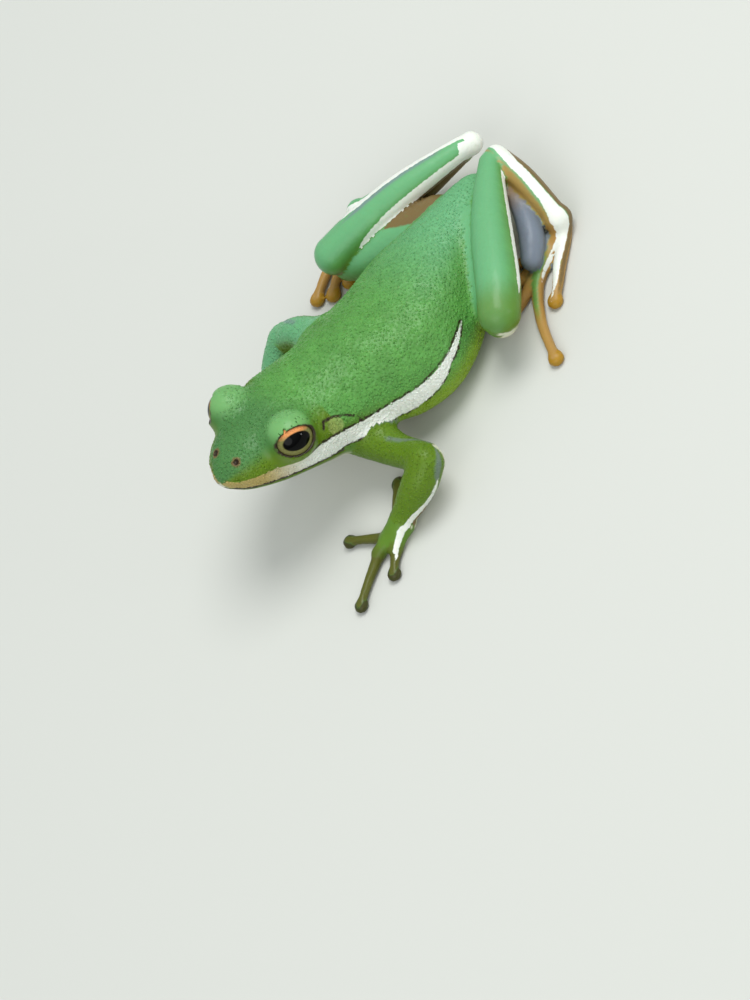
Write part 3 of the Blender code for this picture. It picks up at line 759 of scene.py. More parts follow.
    def settle(self, points, reach, rounds=2):
        """Moves points onto the surface, each by no more than the reach in a round."""
        for _ in range(rounds):
            value = self.field(points)
            slopes = self.slopes(points, value)
            move = slopes * (value / np.maximum((slopes**2).sum(1), 0.2))[:, None]
            size = np.linalg.norm(move, axis=1)[:, None]
            points = points - move * np.minimum(1.0, reach / np.maximum(size, 1e-9))
        return points

    def grid(self, cell):
        """The field on a fine grid, worked out only near the surface."""
        coarse = 4
        low, high = np.array((-23.4, -31.2, -1.2)), np.array((23.4, 31.2, 21.6))
        counts = np.ceil((high - low) / (cell * coarse)).astype(int) + 1
        nodes = np.stack(np.meshgrid(*[np.arange(n) for n in counts], indexing="ij"), axis=-1).reshape(-1, 3)
        rough = self.field(low + nodes * cell * coarse).reshape(counts)
        values = rough
        for axis in range(3):
            values = np.repeat(values, coarse, axis=axis)
        starts = low - cell * coarse / 2 + cell / 2
        near = np.argwhere(np.abs(values) < 2.3)
        values[tuple(near.T)] = self.field(starts + near * cell)
        return values, starts


def surface_net(values, starts, cell):
    """Corners and four-sided faces of the surface where the values on a grid change sign."""
    inside = values < 0.0
    shape = np.array(values.shape) - 1
    count = np.zeros(shape, dtype=int)
    corners = [(i, j, k) for i in (0, 1) for j in (0, 1) for k in (0, 1)]
    for i, j, k in corners:
        count += inside[i : i + shape[0], j : j + shape[1], k : k + shape[2]]
    cells = np.argwhere((count > 0) & (count < 8))
    index = np.full(shape, -1)
    index[tuple(cells.T)] = np.arange(len(cells))
    total, crossings = np.zeros((len(cells), 3)), np.zeros(len(cells))
    for a in corners:
        for axis in range(3):
            if a[axis]:
                continue
            b = list(a)
            b[axis] = 1
            first = values[tuple((cells + a).T)]
            second = values[tuple((cells + b).T)]
            crossed = (first < 0.0) != (second < 0.0)
            share = np.where(crossed, first / np.where(crossed, first - second, 1.0), 0.0)
            point = np.tile(np.array(a, dtype=float), (len(cells), 1))
            point[:, axis] += share
            total += point * crossed[:, None]
            crossings += crossed
    points = starts + (cells + total / crossings[:, None]) * cell
    faces = []
    for axis in range(3):
        u, v = (axis + 1) % 3, (axis + 2) % 3
        ahead = [slice(None)] * 3
        ahead[axis] = slice(1, None)
        back = [slice(None)] * 3
        back[axis] = slice(None, -1)
        changes = inside[tuple(back)] != inside[tuple(ahead)]
        edges = np.argwhere(changes)
        inner = (edges[:, u] > 0) & (edges[:, v] > 0) & (edges[:, u] < shape[u]) & (edges[:, v] < shape[v])
        edges = edges[inner]
        ring = []
        for step_u, step_v in ((-1, -1), (0, -1), (0, 0), (-1, 0)):
            around = edges.copy()
            around[:, u] += step_u
            around[:, v] += step_v
            ring.append(index[tuple(around.T)])
        quads = np.stack(ring, axis=1)
        outward = inside[tuple(edges.T)]
        quads[~outward] = quads[~outward][:, ::-1]
        faces.append(quads)
    return points, np.vstack(faces)


def refined(shape, points, faces, cell):
    """The skin as a bmesh in millimetres, with smaller faces round the eyes, nostrils, mouth and ears."""
    made = bmesh.new()
    verts = [made.verts.new(point) for point in points]
    for face in faces:
        made.faces.new([verts[i] for i in face])
    for share, eye_reach, mouth_reach in ((0.5, 3.6, 0.6), (0.25, 3.1, 0.0)):
        made.verts.index_update()
        places = shape.head_places(np.array([vert.co for vert in made.verts]))
        side = np.abs(places) * (1.0, 0.0, 0.0) + places * (0.0, 1.0, 1.0)
        eye = np.linalg.norm(side - np.array(EYE_PLACE), axis=1) < eye_reach
        ear = np.linalg.norm(side - np.array(EAR_PLACE), axis=1) < 2.4 * (share > 0.4)
        nostril = np.linalg.norm(side - np.array(NOSTRIL_PLACE), axis=1) < 0.9
        mouth = np.abs(places[:, 2] - np.interp(places[:, 1], *zip(*MOUTH_LINE))) < mouth_reach
        chosen = eye | ear | nostril | (mouth & (places[:, 1] < 13.8))
        edges = [edge for edge in made.edges if chosen[edge.verts[0].index] and chosen[edge.verts[1].index]]
        bmesh.ops.subdivide_edges(made, edges=edges, cuts=1, use_grid_fill=True)
        made.verts.index_update()
        co = shape.settle(np.array([vert.co for vert in made.verts]), cell * share, rounds=1)
        for vert, place in zip(made.verts, co):
            vert.co = place
    return made


def near_flesh(shape, points):
    """The nearest flesh of each point: its index or -1 for the body, and its place along and round it."""
    count = len(points)
    nearest = shape.body.place(points)[0]
    label = np.full(count, -1)
    along, across, up, radius = (np.zeros(count) for _ in range(4))
    for picked, middle in shape.groups(points):
        block = points[picked]
        for number, limb in enumerate(shape.limbs):
            balls = shape.near_balls(limb, middle)
            if balls is None:
                continue
            distances = ball_distances(block, limb, balls)
            best = distances.argmin(1)
            value = distances[np.arange(len(block)), best]
            closer = value < nearest[picked]
            where = picked[closer]
            ball = balls[best[closer]]
            heading = limb.heading[ball]
            sideways = np.cross(heading, (0.0, 0.0, 1.0))
            sideways /= np.maximum(np.linalg.norm(sideways, axis=1), 1e-6)[:, None]
            upward = np.cross(sideways, heading)
            offset = points[where] - limb.centres[ball]
            nearest[where] = value[closer]
            label[where] = number
            along[where] = limb.along[ball]
            across[where] = (offset * sideways).sum(1)
            up[where] = (offset * upward).sum(1)
            radius[where] = limb.radii[ball]
    return label, along, across, up, radius


def link(obj):
    bpy.context.scene.collection.objects.link(obj)
    return obj


def set_attribute(mesh, name, values):
    layer = mesh.attributes.new(name, "FLOAT", "POINT")
    layer.data.foreach_set("value", np.asarray(values, dtype=np.float32))


def node(tree, kind, inputs=None, **settings):
    """Adds a node, with its settings, and with each of its inputs linked to a socket or set to a value."""
    made = tree.nodes.new(kind)
    for name, value in settings.items():
        setattr(made, name, value)
    for key, value in (inputs or {}).items():
        if isinstance(value, bpy.types.NodeSocket):
            tree.links.new(value, made.inputs[key])
        else:
            made.inputs[key].default_value = value
    return made


def new_material(name):
    made = bpy.data.materials.new(name)
    made.use_nodes = True
    made.node_tree.nodes.clear()
    return made


def opaque(value):
    return (*value, 1.0)


def painted(tree, under, attribute, paint, near, far, ragged=None):
    """Paints over a colour where an attribute is below near, fading out to none at far."""
    mask = node(tree, "ShaderNodeAttribute", attribute_name=attribute).outputs["Fac"]
    if ragged is not None:
        mask = node(tree, "ShaderNodeMath", {0: mask, 1: ragged}, operation="ADD").outputs[0]
    inputs = {0: mask, 1: far, 2: near}
    share = node(tree, "ShaderNodeMapRange", inputs, interpolation_type="SMOOTHSTEP").outputs[0]
    return mixed(tree, share, under, paint)


def mixed(tree, share, under, over):
    return node(tree, "ShaderNodeMix", {0: share, 6: under, 7: over}, data_type="RGBA").outputs[2]


def skin_material(sizes, colours):
    """Moist amphibian skin: satin, finely grained, with a thin wet film that gives soft lights."""
    made = new_material("moist_green_skin")
    tree = made.node_tree
    place = node(tree, "ShaderNodeTexCoord").outputs["Object"]
    mottle = node(tree, "ShaderNodeTexNoise", {"Vector": place, "Scale": MOTTLE_PER_METRE, "Detail": 4.0})
    fine = node(tree, "ShaderNodeTexNoise", {"Vector": place, "Scale": RAGGED_PER_METRE, "Detail": 2.0})
    centred = node(tree, "ShaderNodeMath", {0: fine.outputs[0], 1: 0.5}, operation="SUBTRACT").outputs[0]
    ragged = node(tree, "ShaderNodeMath", {0: centred, 1: 0.3}, operation="MULTIPLY").outputs[0]
    shade = node(tree, "ShaderNodeMapRange", {0: mottle.outputs[0], 1: 0.35, 2: 0.65}).outputs[0]
    deep = opaque(tuple(0.82 * part for part in colours.back))
    tones = mixed(tree, shade, opaque(colours.back), deep)
    for name in SKIN_TONES:
        tones = painted(tree, tones, name, opaque(getattr(colours, name)), 1.0, 0.0)
    tan = node(tree, "ShaderNodeAttribute", attribute_name="tan").outputs["Fac"]
    stripe = mixed(tree, tan, opaque(colours.stripe), opaque(colours.stripe_snout))
    tones = painted(tree, tones, "brown", opaque(colours.brown), -0.15, 0.2, ragged)
    tones = painted(tree, tones, "stripe", stripe, -0.07, 0.07, ragged)
    tones = painted(tree, tones, "dark", opaque(colours.dark_line), -0.05, 0.12, ragged)
    specks = node(tree, "ShaderNodeMapRange", {0: fine.outputs[0], 1: 0.6, 2: 0.9, 4: 0.25}).outputs[0]
    tones = mixed(tree, specks, tones, deep)
    inputs = {"Vector": place, "Scale": 1.0 / sizes.grain}
    grains = node(tree, "ShaderNodeTexVoronoi", inputs, feature="SMOOTH_F1").outputs["Distance"]
    inputs = {"Vector": place, "Scale": CREASES_PER_METRE, "Detail": 3.0, "Distortion": 1.2}
    creases = node(tree, "ShaderNodeTexNoise", inputs).outputs[0]
    relief = node(tree, "ShaderNodeMath", {0: creases, 1: grains}, operation="SUBTRACT").outputs[0]
    rough = node(tree, "ShaderNodeAttribute", attribute_name="grain").outputs["Fac"]
    height = node(tree, "ShaderNodeMath", {0: relief, 1: rough}, operation="MULTIPLY").outputs[0]
    depth = sizes.grain_relief * BUMP_TO_RELIEF
    bump = node(tree, "ShaderNodeBump", {"Height": height, "Distance": depth, "Strength": 1.0})
    inputs = {0: mottle.outputs[0], 1: 0.3, 2: 0.7, 3: 0.34, 4: 0.48}
    gloss = node(tree, "ShaderNodeMapRange", inputs).outputs[0]
    shader = node(
        tree,
        "ShaderNodeBsdfPrincipled",
        {
            "Base Color": tones,
            "Roughness": gloss,
            "IOR": 1.4,
            "Subsurface Weight": 0.06,
            "Subsurface Scale": 0.0006,
            "Specular IOR Level": 0.35,
            "Coat Weight": 0.1,
            "Coat Roughness": 0.2,
            "Normal": bump.outputs[0],
        },
    )
    node(tree, "ShaderNodeOutputMaterial", {"Surface": shader.outputs[0]})
    return made


def eye_material(sizes, colours):
    """A wet eyeball: a black oval pupil in a gold and copper iris under a clear, very smooth film."""
    made = new_material("wet_eyeball")
    tree = made.node_tree
    place = node(tree, "ShaderNodeUVMap", uv_map="eye_face").outputs[0]
    split = node(tree, "ShaderNodeSeparateXYZ", {0: place})
    half_length = millimetres(sizes.pupil_length) / 20
    half_height = millimetres(sizes.pupil_height) / 20
    x = node(tree, "ShaderNodeMath", {0: split.outputs[0], 1: half_length}, operation="DIVIDE").outputs[0]
    y = node(tree, "ShaderNodeMath", {0: split.outputs[1], 1: half_height}, operation="DIVIDE").outputs[0]
    oval = node(tree, "ShaderNodeCombineXYZ", {0: x, 1: y})
    out = node(tree, "ShaderNodeVectorMath", {0: oval.outputs[0]}, operation="LENGTH").outputs["Value"]
    high = node(tree, "ShaderNodeMapRange", {0: split.outputs[1], 1: 0.06, 2: 0.12}).outputs[0]
    iris = mixed(tree, high, opaque(colours.iris), opaque(colours.iris_edge))
    inputs = {"Vector": place, "Scale": IRIS_FLECKS, "Detail": 5.0, "Roughness": 0.7}
    flecks = node(tree, "ShaderNodeTexNoise", inputs).outputs[0]
    fleck = node(tree, "ShaderNodeMapRange", {0: flecks, 1: 0.5, 2: 0.75, 4: 0.7}).outputs[0]
    iris = mixed(tree, fleck, iris, opaque(colours.dark_line))
    pupil = node(tree, "ShaderNodeMapRange", {0: out, 1: 1.06, 2: 0.96}).outputs[0]
    eye = mixed(tree, pupil, iris, opaque(colours.pupil))
    shader = node(
        tree,
        "ShaderNodeBsdfPrincipled",
        {"Base Color": eye, "Roughness": 0.08, "IOR": 1.34, "Specular IOR Level": 0.2},
    )
    node(tree, "ShaderNodeOutputMaterial", {"Surface": shader.outputs[0]})
    return made


def floor_material(colours):
    """Matt painted board: pale and even, so that only soft shadows show on it."""
    made = new_material("matt_painted_board")
    tree = made.node_tree
    shader = node(tree, "ShaderNodeBsdfPrincipled", {"Base Color": opaque(colours.floor), "Roughness": 0.9})
    node(tree, "ShaderNodeOutputMaterial", {"Surface": shader.outputs[0]})
    return made


def fade(value, start, end):
    """A smooth step from 0 at the start to 1 at the end."""
    share = np.clip((value - start) / (end - start), 0.0, 1.0)
    return share * share * (3 - 2 * share)


def band(rows, along, turn, radius):
    """Millimetres to the edge of a band along a limb, below 0 inside it.

    Each row is the place along the limb, the band's middle and half its width, both in degrees round it.
    """
    at, middle, half = np.array(rows).T
    off = np.abs((turn - np.interp(along, at, middle) + 180.0) % 360.0 - 180.0) - np.interp(along, at, half)
    return np.radians(off) * radius


def limb_bands(shape, bands, label, along, turn, radius):
    """Millimetres to the band on each limb. A right limb without its own mirrors the left one."""
    value = np.full(len(label), FAR_OFF)
    for number, limb in enumerate(shape.limbs):
        rows = bands.get(limb.name)
        if rows is None and "right" in limb.name:
            other = bands.get(limb.name.replace("right", "left"), ())
            rows = [(at, -middle, half) for at, middle, half in other]
        if not rows:
            continue
        on = label == number
        value[on] = band(rows, along[on], turn[on], radius[on])
    return value


def skin_marks(shape, points):
    """The markings at each point: shares from 0 to 1, or millimetres to a marking's edge, below 0 inside."""
    _, station, u, v = shape.body.place(points)
    head = shape.head_places(points)
    side = np.abs(head) * (1.0, 0.0, 0.0) + head * (0.0, 1.0, 1.0)
    label, along, across, up, radius = near_flesh(shape, points)
    turn = np.degrees(np.arctan2(across, up))
    girth = np.degrees(np.arctan2(v, np.abs(u)))
    top = np.cos(np.radians(turn))
    names = ["body"] + [limb.name for limb in shape.limbs]
    kind = np.array(["".join(letter for letter in name if not letter.isdigit()) for name in names])[label + 1]
    on_body = label < 0
    arm = np.char.find(kind, "arm_") >= 0
    palm = np.char.startswith(kind, "palm")
    finger = np.char.startswith(kind, "finger")
    pad = np.char.find(kind, "pad_") >= 0
    toe = np.char.startswith(kind, "toe_")
    bones = [bone + word for bone in ("thigh_", "shank_", "tarsus_") for word in ("left", "right")]
    leg = np.isin(kind, bones)
    hidden = np.char.startswith(kind, "web") | np.char.startswith(kind, "hock")
    behind = head[:, 1] > 13.0

    marks = {}
    # Partly painted light: the bluer green on top of the rump and the legs also stands in for a bluish sky
    # sheen, and only the right arm gets it on its top, as painted sky light.
    body_cool = 0.75 * fade(points[:, 1], -2.0, 20.0) * fade(girth, 15.0, 60.0)
    far_arm = arm & np.char.endswith(kind, "right")
    marks["back_cool"] = np.where(on_body, body_cool, fade(top, 0.0, 0.9) * (0.72 * leg + 0.8 * far_arm))
    # Painted shade: darker green over the top and front of the head.
    marks["head"] = on_body * fade(-head[:, 1], -14.0, -6.0) * fade(girth, 0.0, 30.0)
    # Olive on the downward-facing cheeks, lower flanks and limb sides: partly the skin's own yellower green,
    # partly painted yellow-green shade.
    flank = 0.6 * fade(-girth, -24.0, 0.0) * fade(station, 36.0, 20.0)
    cheek = np.where(behind, flank, fade(-girth, -52.0, -12.0))
    knee = 0.6 * fade(along, 0.24, 0.0) * (kind == "shank_left")
    # Painted shade and light on the arms: the left arm is olive all round, while the right arm's top is left
    # for the bluer painted sky light.
    arm_olive = 0.85 * arm * (1.0 - 0.9 * far_arm * fade(top, 0.2, 0.9))
    limb_olive = np.maximum(fade(-top, -0.4, 0.4), knee) * leg + arm_olive + 0.7 * palm
    marks["olive"] = np.where(on_body, cheek, limb_olive)
    marks["yellow"] = on_body * fade(-girth, -12.0, 10.0) * fade(station, 14.0, 24.0) * 0.8
    ball = side - np.array(EYE_PLACE)
    eye = np.linalg.norm(ball, axis=1)
    # Painted light: lighter green on the upper part of each lid.
    marks["lid"] = on_body * fade(-eye, -4.0, -3.1) * fade(ball[:, 2], 0.4, 2.6) * 0.45
    ear = np.linalg.norm(side - np.array(EAR_PLACE), axis=1)
    marks["ear"] = on_body * fade(-ear, -1.4, -1.0) * 0.65
    marks["belly"] = np.where(on_body, fade(-girth, 22.0, 40.0), (leg | arm | palm) * fade(-top, 0.45, 0.85))
    blotch = np.hypot(station - 19.0, (girth + 8.0) * 0.12)
    marks["lilac"] = np.where(on_body, fade(-blotch, -2.6, -0.8) * 0.8, hidden * 1.0)
    inner = np.isin(kind, ("toe_left_", "toe_right_")) * fade(-along, -0.75, -0.35)
    outer = np.zeros(len(points))
    for number, limb in enumerate(shape.limbs):
        if limb.name.endswith(("_4", "_5")) and limb.name.startswith("toe"):
            outer[label == number] = 1.0
    marks["lilac"] = np.maximum(marks["lilac"], inner * (1.0 - outer) * 0.8)
    # Painted highlight: pale lilac along the outer edge of the left arm.
    arm_edge_highlight = fade(-limb_bands(shape, ARM_EDGE_HIGHLIGHTS, label, along, turn, radius), -0.3, 0.3)
    marks["lilac"] = np.maximum(marks["lilac"], 0.55 * arm_edge_highlight)
    # Painted shade: lilac band on the right shank for the shadow in its gap with the tarsus.
    gap_shade = fade(-limb_bands(shape, OUTER_SHADE_BANDS, label, along, turn, radius), -0.4, 0.3)
    marks["lilac"] = np.maximum(marks["lilac"], 0.75 * gap_shade)
    marks["digit"] = np.where(finger & ~pad, 1.0, palm * fade(along, 0.5, 1.0) * 0.6)
    marks["pad"] = (finger & pad) * 1.0
    green_toe = outer * fade(top, 0.6, 0.9) * fade(-along, -0.8, -0.55) * fade(along, 0.15, 0.35)
    inner_side = fade(-limb_bands(shape, INNER_BANDS, label, along, turn, radius), -0.1, 0.5)
    hock_root = np.char.startswith(kind, "hock") * fade(-along, -0.65, -0.1)
    marks["orange"] = np.where(toe, (1.0 - 0.8 * green_toe) * (1.0 - marks["lilac"]), 0.0)
    marks["orange"] = np.max((marks["orange"], 0.8 * inner_side, 0.7 * hock_root), axis=0)
    marks["gold"] = (np.char.startswith(kind, "toe_pad")) * 1.0

    lower = np.interp(station, *zip(*STRIPE_LOWER))
    upper = np.interp(station, *zip(*STRIPE_UPPER))
    round_body = np.radians(np.maximum(girth - upper, lower - girth)) * np.hypot(u, v)
    shoulder = np.char.startswith(kind, "upper_arm") & (along < 0.14)
    on_trunk = (on_body | shoulder) & (station < STRIPE_UPPER[-1][0])
    stripe = np.where(on_trunk, round_body, FAR_OFF)
    edge = np.radians(np.abs(girth - upper - 1.0)) * np.hypot(u, v)
    low_edge = np.radians(np.abs(girth - lower + 0.5)) * np.hypot(u, v)
    dark = np.where(on_trunk & (station > 9.0), edge - 0.13, FAR_OFF)
    dark = np.where(on_trunk & (station > 9.0), np.minimum(dark, low_edge - 0.10), dark)
    limbs = limb_bands(shape, STRIPES, label, along, turn, radius)
    outer_line = limb_bands(shape, OUTER_LINES, label, along, turn, radius)
    marks["stripe"] = np.min((stripe, limbs, outer_line), axis=0)
    marks["tan"] = on_body * fade(-station, -9.5, -3.0)
    # Brown bands beside the leg stripes, with painted shadow on the right thigh and the right hock.
    marks["brown"] = limb_bands(shape, BROWN_BANDS, label, along, turn, radius)

    nostril = np.linalg.norm(side - np.array(NOSTRIL_PLACE), axis=1)
    marks["brown"] = np.minimum(marks["brown"], np.where(on_body, nostril - 0.62, FAR_OFF))
    line = side[:, 2] - np.interp(head[:, 1], *zip(*MOUTH_LINE))
    mouth = np.where(on_body & ~behind, np.abs(line - 0.15) - 0.2, FAR_OFF)
    rim = np.abs(shape.opening_gap(head))
    fold = fold_distance(side)
    for line in (mouth, nostril - 0.40, rim - 0.06, fold - 0.10):
        dark = np.minimum(dark, np.where(on_body, line, FAR_OFF))
    marks["dark"] = dark
    smoother = (1.0 - 0.3 * marks["head"]) * (1.0 - 0.45 * fade(points[:, 1], 4.0, 20.0))
    back = fade(girth, -35.0, 0.0) * smoother
    marks["grain"] = np.where(on_body, back, 0.2 + 0.3 * arm) * fade(shape.opening_gap(head), 0.8, 1.8)
    return marks


def crease(place):
    """How deep the fine folds of the skin are at a place: 1 in a fold and 0 beside it."""
    bent = Vector((place.x * 0.8, place.y * 1.7, place.z * 0.8)) + noise.noise_vector(place * 0.45) * 0.9
    return math.exp(-((noise.noise(bent) / 0.07) ** 2))


def build_skin(sizes, colours):
    shape = SkinShape(sizes)
    cell = millimetres(sizes.skin_cell)
    values, starts = shape.grid(cell)
    points, faces = surface_net(values, starts, cell)
    points = shape.settle(points, cell)
    made = refined(shape, points, faces, cell)
    bmesh.ops.recalc_face_normals(made, faces=made.faces)
    places = np.array([vert.co for vert in made.verts])
    marks = skin_marks(shape, places)
    made.normal_update()
    depth = millimetres(sizes.wrinkle)
    for vert, share in zip(made.verts, marks["grain"]):
        vert.co -= vert.normal * depth * share * crease(vert.co)
    bmesh.ops.translate(made, vec=part_shift(), verts=made.verts)
    bmesh.ops.scale(made, vec=(METRES,) * 3, verts=made.verts)
    mesh = bpy.data.meshes.new("skin")
    made.to_mesh(mesh)
    made.free()
    for name, values in marks.items():
        set_attribute(mesh, name, values)
    mesh.shade_smooth()
    mesh.materials.append(skin_material(sizes, colours))
    skin = link(bpy.data.objects.new("skin", mesh))
    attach(skin, "root")
    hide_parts(*[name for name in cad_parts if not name.startswith("eye")])
    return skin


def socket_value(modifier, name, value):
    """Sets a Geometry Nodes input by the identifier of the socket with that name."""
    for item in modifier.node_group.interface.items_tree:
        if item.item_type == "SOCKET" and item.in_out == "INPUT" and item.name == name:
            modifier[item.identifier] = value


def grain_tree(material):
    """Low round grains set over the skin where its grain attribute is high."""
    tree = bpy.data.node_groups.new("skin_grains", "GeometryNodeTree")
    tree.interface.new_socket("Skin", in_out="INPUT", socket_type="NodeSocketGeometry")
    tree.interface.new_socket("Grains", in_out="OUTPUT", socket_type="NodeSocketGeometry")
    tree.interface.new_socket("Spacing", in_out="INPUT", socket_type="NodeSocketFloat")
    tree.interface.new_socket("Relief", in_out="INPUT", socket_type="NodeSocketFloat")
    tree.interface.new_socket("Seed", in_out="INPUT", socket_type="NodeSocketInt")
    given = node(tree, "NodeGroupInput").outputs
    grain = node(tree, "GeometryNodeInputNamedAttribute", {"Name": "grain"}, data_type="FLOAT")
    share = grain.outputs["Attribute"]
    dense = node(tree, "ShaderNodeMapRange", {0: share, 1: 0.38, 2: 0.46}).outputs[0]
    scattered = node(
        tree,
        "GeometryNodeDistributePointsOnFaces",
        {
            "Mesh": given["Skin"],
            "Distance Min": given["Spacing"],
            "Density Max": GRAINS_PER_SQUARE_METRE,
            "Density Factor": dense,
            "Seed": given["Seed"],
        },
        distribute_method="POISSON",
    )
    dome = node(tree, "GeometryNodeMeshIcoSphere", {"Radius": 1.0, "Subdivisions": 1}).outputs["Mesh"]
    smooth = node(tree, "GeometryNodeSetShadeSmooth", {"Geometry": dome}).outputs["Geometry"]
    wide = node(tree, "ShaderNodeMath", {0: given["Spacing"], 1: 0.52}, operation="MULTIPLY").outputs[0]
    high = node(tree, "ShaderNodeMath", {0: given["Relief"], 1: share}, operation="MULTIPLY").outputs[0]
    size = node(tree, "ShaderNodeCombineXYZ", {0: wide, 1: wide, 2: high}).outputs[0]
    inputs = {2: 0.7, 3: 1.1, "Seed": given["Seed"]}
    unequal = node(tree, "FunctionNodeRandomValue", inputs, data_type="FLOAT")
    scale = node(tree, "ShaderNodeVectorMath", {0: size, 3: unequal.outputs[1]}, operation="SCALE").outputs[0]
    placed = node(
        tree,
        "GeometryNodeInstanceOnPoints",
        {
            "Points": scattered.outputs["Points"],
            "Instance": smooth,
            "Rotation": scattered.outputs["Rotation"],
            "Scale": scale,
        },
    ).outputs["Instances"]
    real = node(tree, "GeometryNodeRealizeInstances", {"Geometry": placed}).outputs["Geometry"]
    coated = node(tree, "GeometryNodeSetMaterial", {"Geometry": real, "Material": material})
    node(tree, "NodeGroupOutput", {"Grains": coated.outputs["Geometry"]})
    return tree


def build_grains(sizes):
    skin = bpy.data.objects["skin"]
    base = link(bpy.data.objects.new("grain_base", skin.data))
    modifier = base.modifiers.new("grains", "NODES")
    modifier.node_group = grain_tree(skin.data.materials[0])
    socket_value(modifier, "Spacing", sizes.grain)
    socket_value(modifier, "Relief", sizes.grain_relief)
    socket_value(modifier, "Seed", 7)
    mesh = bpy.data.meshes.new_from_object(base.evaluated_get(bpy.context.evaluated_depsgraph_get()))
    mesh.name = "skin_grains"
    bpy.data.objects.remove(base)
    grains = link(bpy.data.objects.new("skin_grains", mesh))
    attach(grains, "root")


def build_eye(word, side, sizes, material):
    """An eyeball with its pole on the eye's axis, and its face drawn on it in centimetres."""
    shift = Vector(part_shift())
    out = head_direction(EYE_AXIS, side)
    forward = head_direction(Vector((0.0, -1.0, 0.0)))
    forward = (forward - out * forward.dot(out)).normalized()
    up = forward.cross(out) * side
    forward, up = (
        forward * math.cos(EYE_TILT) + up * math.sin(EYE_TILT),
        up * math.cos(EYE_TILT) - forward * math.sin(EYE_TILT),
    )
    made = bmesh.new()
    bmesh.ops.create_uvsphere(made, u_segments=64, v_segments=40, radius=millimetres(sizes.eye_radius))
    layer = made.loops.layers.uv.new("eye_face")
    for face in made.faces:
        for loop in face.loops:
            loop[layer].uv = (loop.vert.co.x / 10, loop.vert.co.y / 10)
    turn = Matrix((forward, up, forward.cross(up))).transposed()
    if turn.col[2].dot(out) < 0:
        turn.col[2] = out
    bmesh.ops.transform(made, matrix=turn.to_4x4(), verts=made.verts)
    bmesh.ops.translate(made, vec=head_point(EYE_PLACE, side) + shift, verts=made.verts)
    bmesh.ops.scale(made, vec=(METRES,) * 3, verts=made.verts)
    bmesh.ops.recalc_face_normals(made, faces=made.faces)
    mesh = bpy.data.meshes.new("eyeball_" + word)
    made.to_mesh(mesh)
    made.free()
    mesh.shade_smooth()
    mesh.materials.append(material)
    eye = link(bpy.data.objects.new("eyeball_" + word, mesh))
    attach(eye, "root")
    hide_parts("eye_" + word)


def build_stage(colours):
    """A pale floor, soft studio light, and the camera at the picture's angle."""
    made = bmesh.new()
    bmesh.ops.create_grid(made, x_segments=1, y_segments=1, size=3.0)
    mesh = bpy.data.meshes.new("floor")
    made.to_mesh(mesh)
    made.free()
    mesh.materials.append(floor_material(colours))
    link(bpy.data.objects.new("floor", mesh))
    lights = (
        ("key_light", (0.08, 0.26, 0.54), 0.36, 2.4),
        ("fill_light", (0.3, -0.4, 0.4), 0.5, 1.2),
        ("eye_light", (0.5, 0.27, 0.06), 0.05, 0.25),
    )
    for name, place, size, power in lights:
        lamp = bpy.data.lights.new(name, "AREA")
        lamp.shape = "DISK"
        lamp.size = size
        lamp.energy = power
        holder = link(bpy.data.objects.new(name, lamp))
        holder.location = place
        holder.rotation_euler = (-Vector(place)).to_track_quat("-Z", "Y").to_euler()
    world = bpy.data.worlds.new("studio")
    world.use_nodes = True
    tree = world.node_tree
    ray = node(tree, "ShaderNodeTexCoord").outputs["Generated"]
    rise = node(tree, "ShaderNodeSeparateXYZ", {0: ray}).outputs["Z"]
    glow = node(tree, "ShaderNodeMapRange", {0: rise, 1: 0.0, 2: 0.6, 3: 0.25, 4: 0.7}).outputs[0]
    tree.nodes["Background"].inputs["Color"].default_value = (0.93, 0.97, 1.0, 1.0)
    tree.links.new(glow, tree.nodes["Background"].inputs["Strength"])
    bpy.context.scene.world = world
    bpy.context.scene.view_settings.view_transform = "Standard"
    lens = bpy.data.cameras.new("camera")
    lens.lens = CAMERA_LENS
    lens.sensor_width = 36.0
    lens.sensor_fit = "AUTO"
    lens.clip_start = 0.01
    lens.clip_end = 10.0
    camera = link(bpy.data.objects.new("camera", lens))
    turn = Matrix((CAMERA_RIGHT, CAMERA_UP, CAMERA_RIGHT.cross(CAMERA_UP))).transposed()
    place = (CAMERA_PLACE + Vector(part_shift())) * METRES
    camera.matrix_world = Matrix.Translation(place) @ turn.to_4x4()
    bpy.context.scene.camera = camera


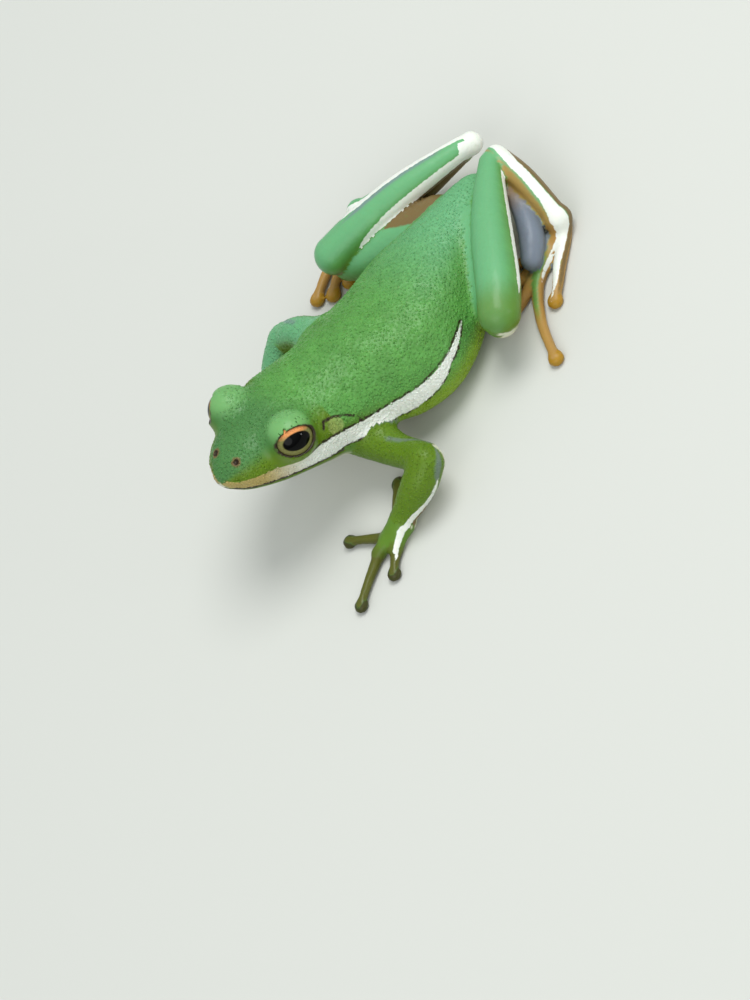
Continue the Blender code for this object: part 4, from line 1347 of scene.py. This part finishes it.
class FROG_OT_skin(bpy.types.Operator):
    """Makes the frog's skin over its solids"""

    bl_idname = "frog.skin"
    bl_label = "Skin"

    def execute(self, context):
        build_skin(context.scene.frog_sizes, context.scene.frog_colours)
        return {"FINISHED"}


class FROG_OT_grains(bpy.types.Operator):
    """Sets the skin's grains over the back"""

    bl_idname = "frog.grains"
    bl_label = "Skin grains"

    def execute(self, context):
        build_grains(context.scene.frog_sizes)
        return {"FINISHED"}


class FROG_OT_eyes(bpy.types.Operator):
    """Makes both eyeballs"""

    bl_idname = "frog.eyes"
    bl_label = "Eyes"

    def execute(self, context):
        material = eye_material(context.scene.frog_sizes, context.scene.frog_colours)
        for word, side in (("left", 1.0), ("right", -1.0)):
            build_eye(word, side, context.scene.frog_sizes, material)
        return {"FINISHED"}


class FROG_OT_stage(bpy.types.Operator):
    """Makes the floor, the lights and the camera"""

    bl_idname = "frog.stage"
    bl_label = "Stage"

    def execute(self, context):
        build_stage(context.scene.frog_colours)
        return {"FINISHED"}


class FROG_PT_panel(bpy.types.Panel):
    bl_label = "Green tree frog"
    bl_idname = "FROG_PT_panel"
    bl_space_type = "VIEW_3D"
    bl_region_type = "UI"
    bl_category = "Frog"

    def draw(self, context):
        for group in (context.scene.frog_sizes, context.scene.frog_colours):
            for name in group.__annotations__:
                self.layout.prop(group, name)
        for step in STEPS:
            self.layout.operator(step.bl_idname)


STEPS = (FROG_OT_skin, FROG_OT_grains, FROG_OT_eyes, FROG_OT_stage)
CLASSES = (FrogSizes, FrogColours) + STEPS + (FROG_PT_panel,)


def register():
    for item in CLASSES:
        bpy.utils.register_class(item)
    bpy.types.Scene.frog_sizes = PointerProperty(type=FrogSizes)
    bpy.types.Scene.frog_colours = PointerProperty(type=FrogColours)


def unregister():
    del bpy.types.Scene.frog_colours
    del bpy.types.Scene.frog_sizes
    for item in reversed(CLASSES):
        bpy.utils.unregister_class(item)


def main():
    register()
    bpy.ops.frog.skin()
    bpy.ops.frog.grains()
    bpy.ops.frog.eyes()
    bpy.ops.frog.stage()


if __name__ == "__main__":
    main()
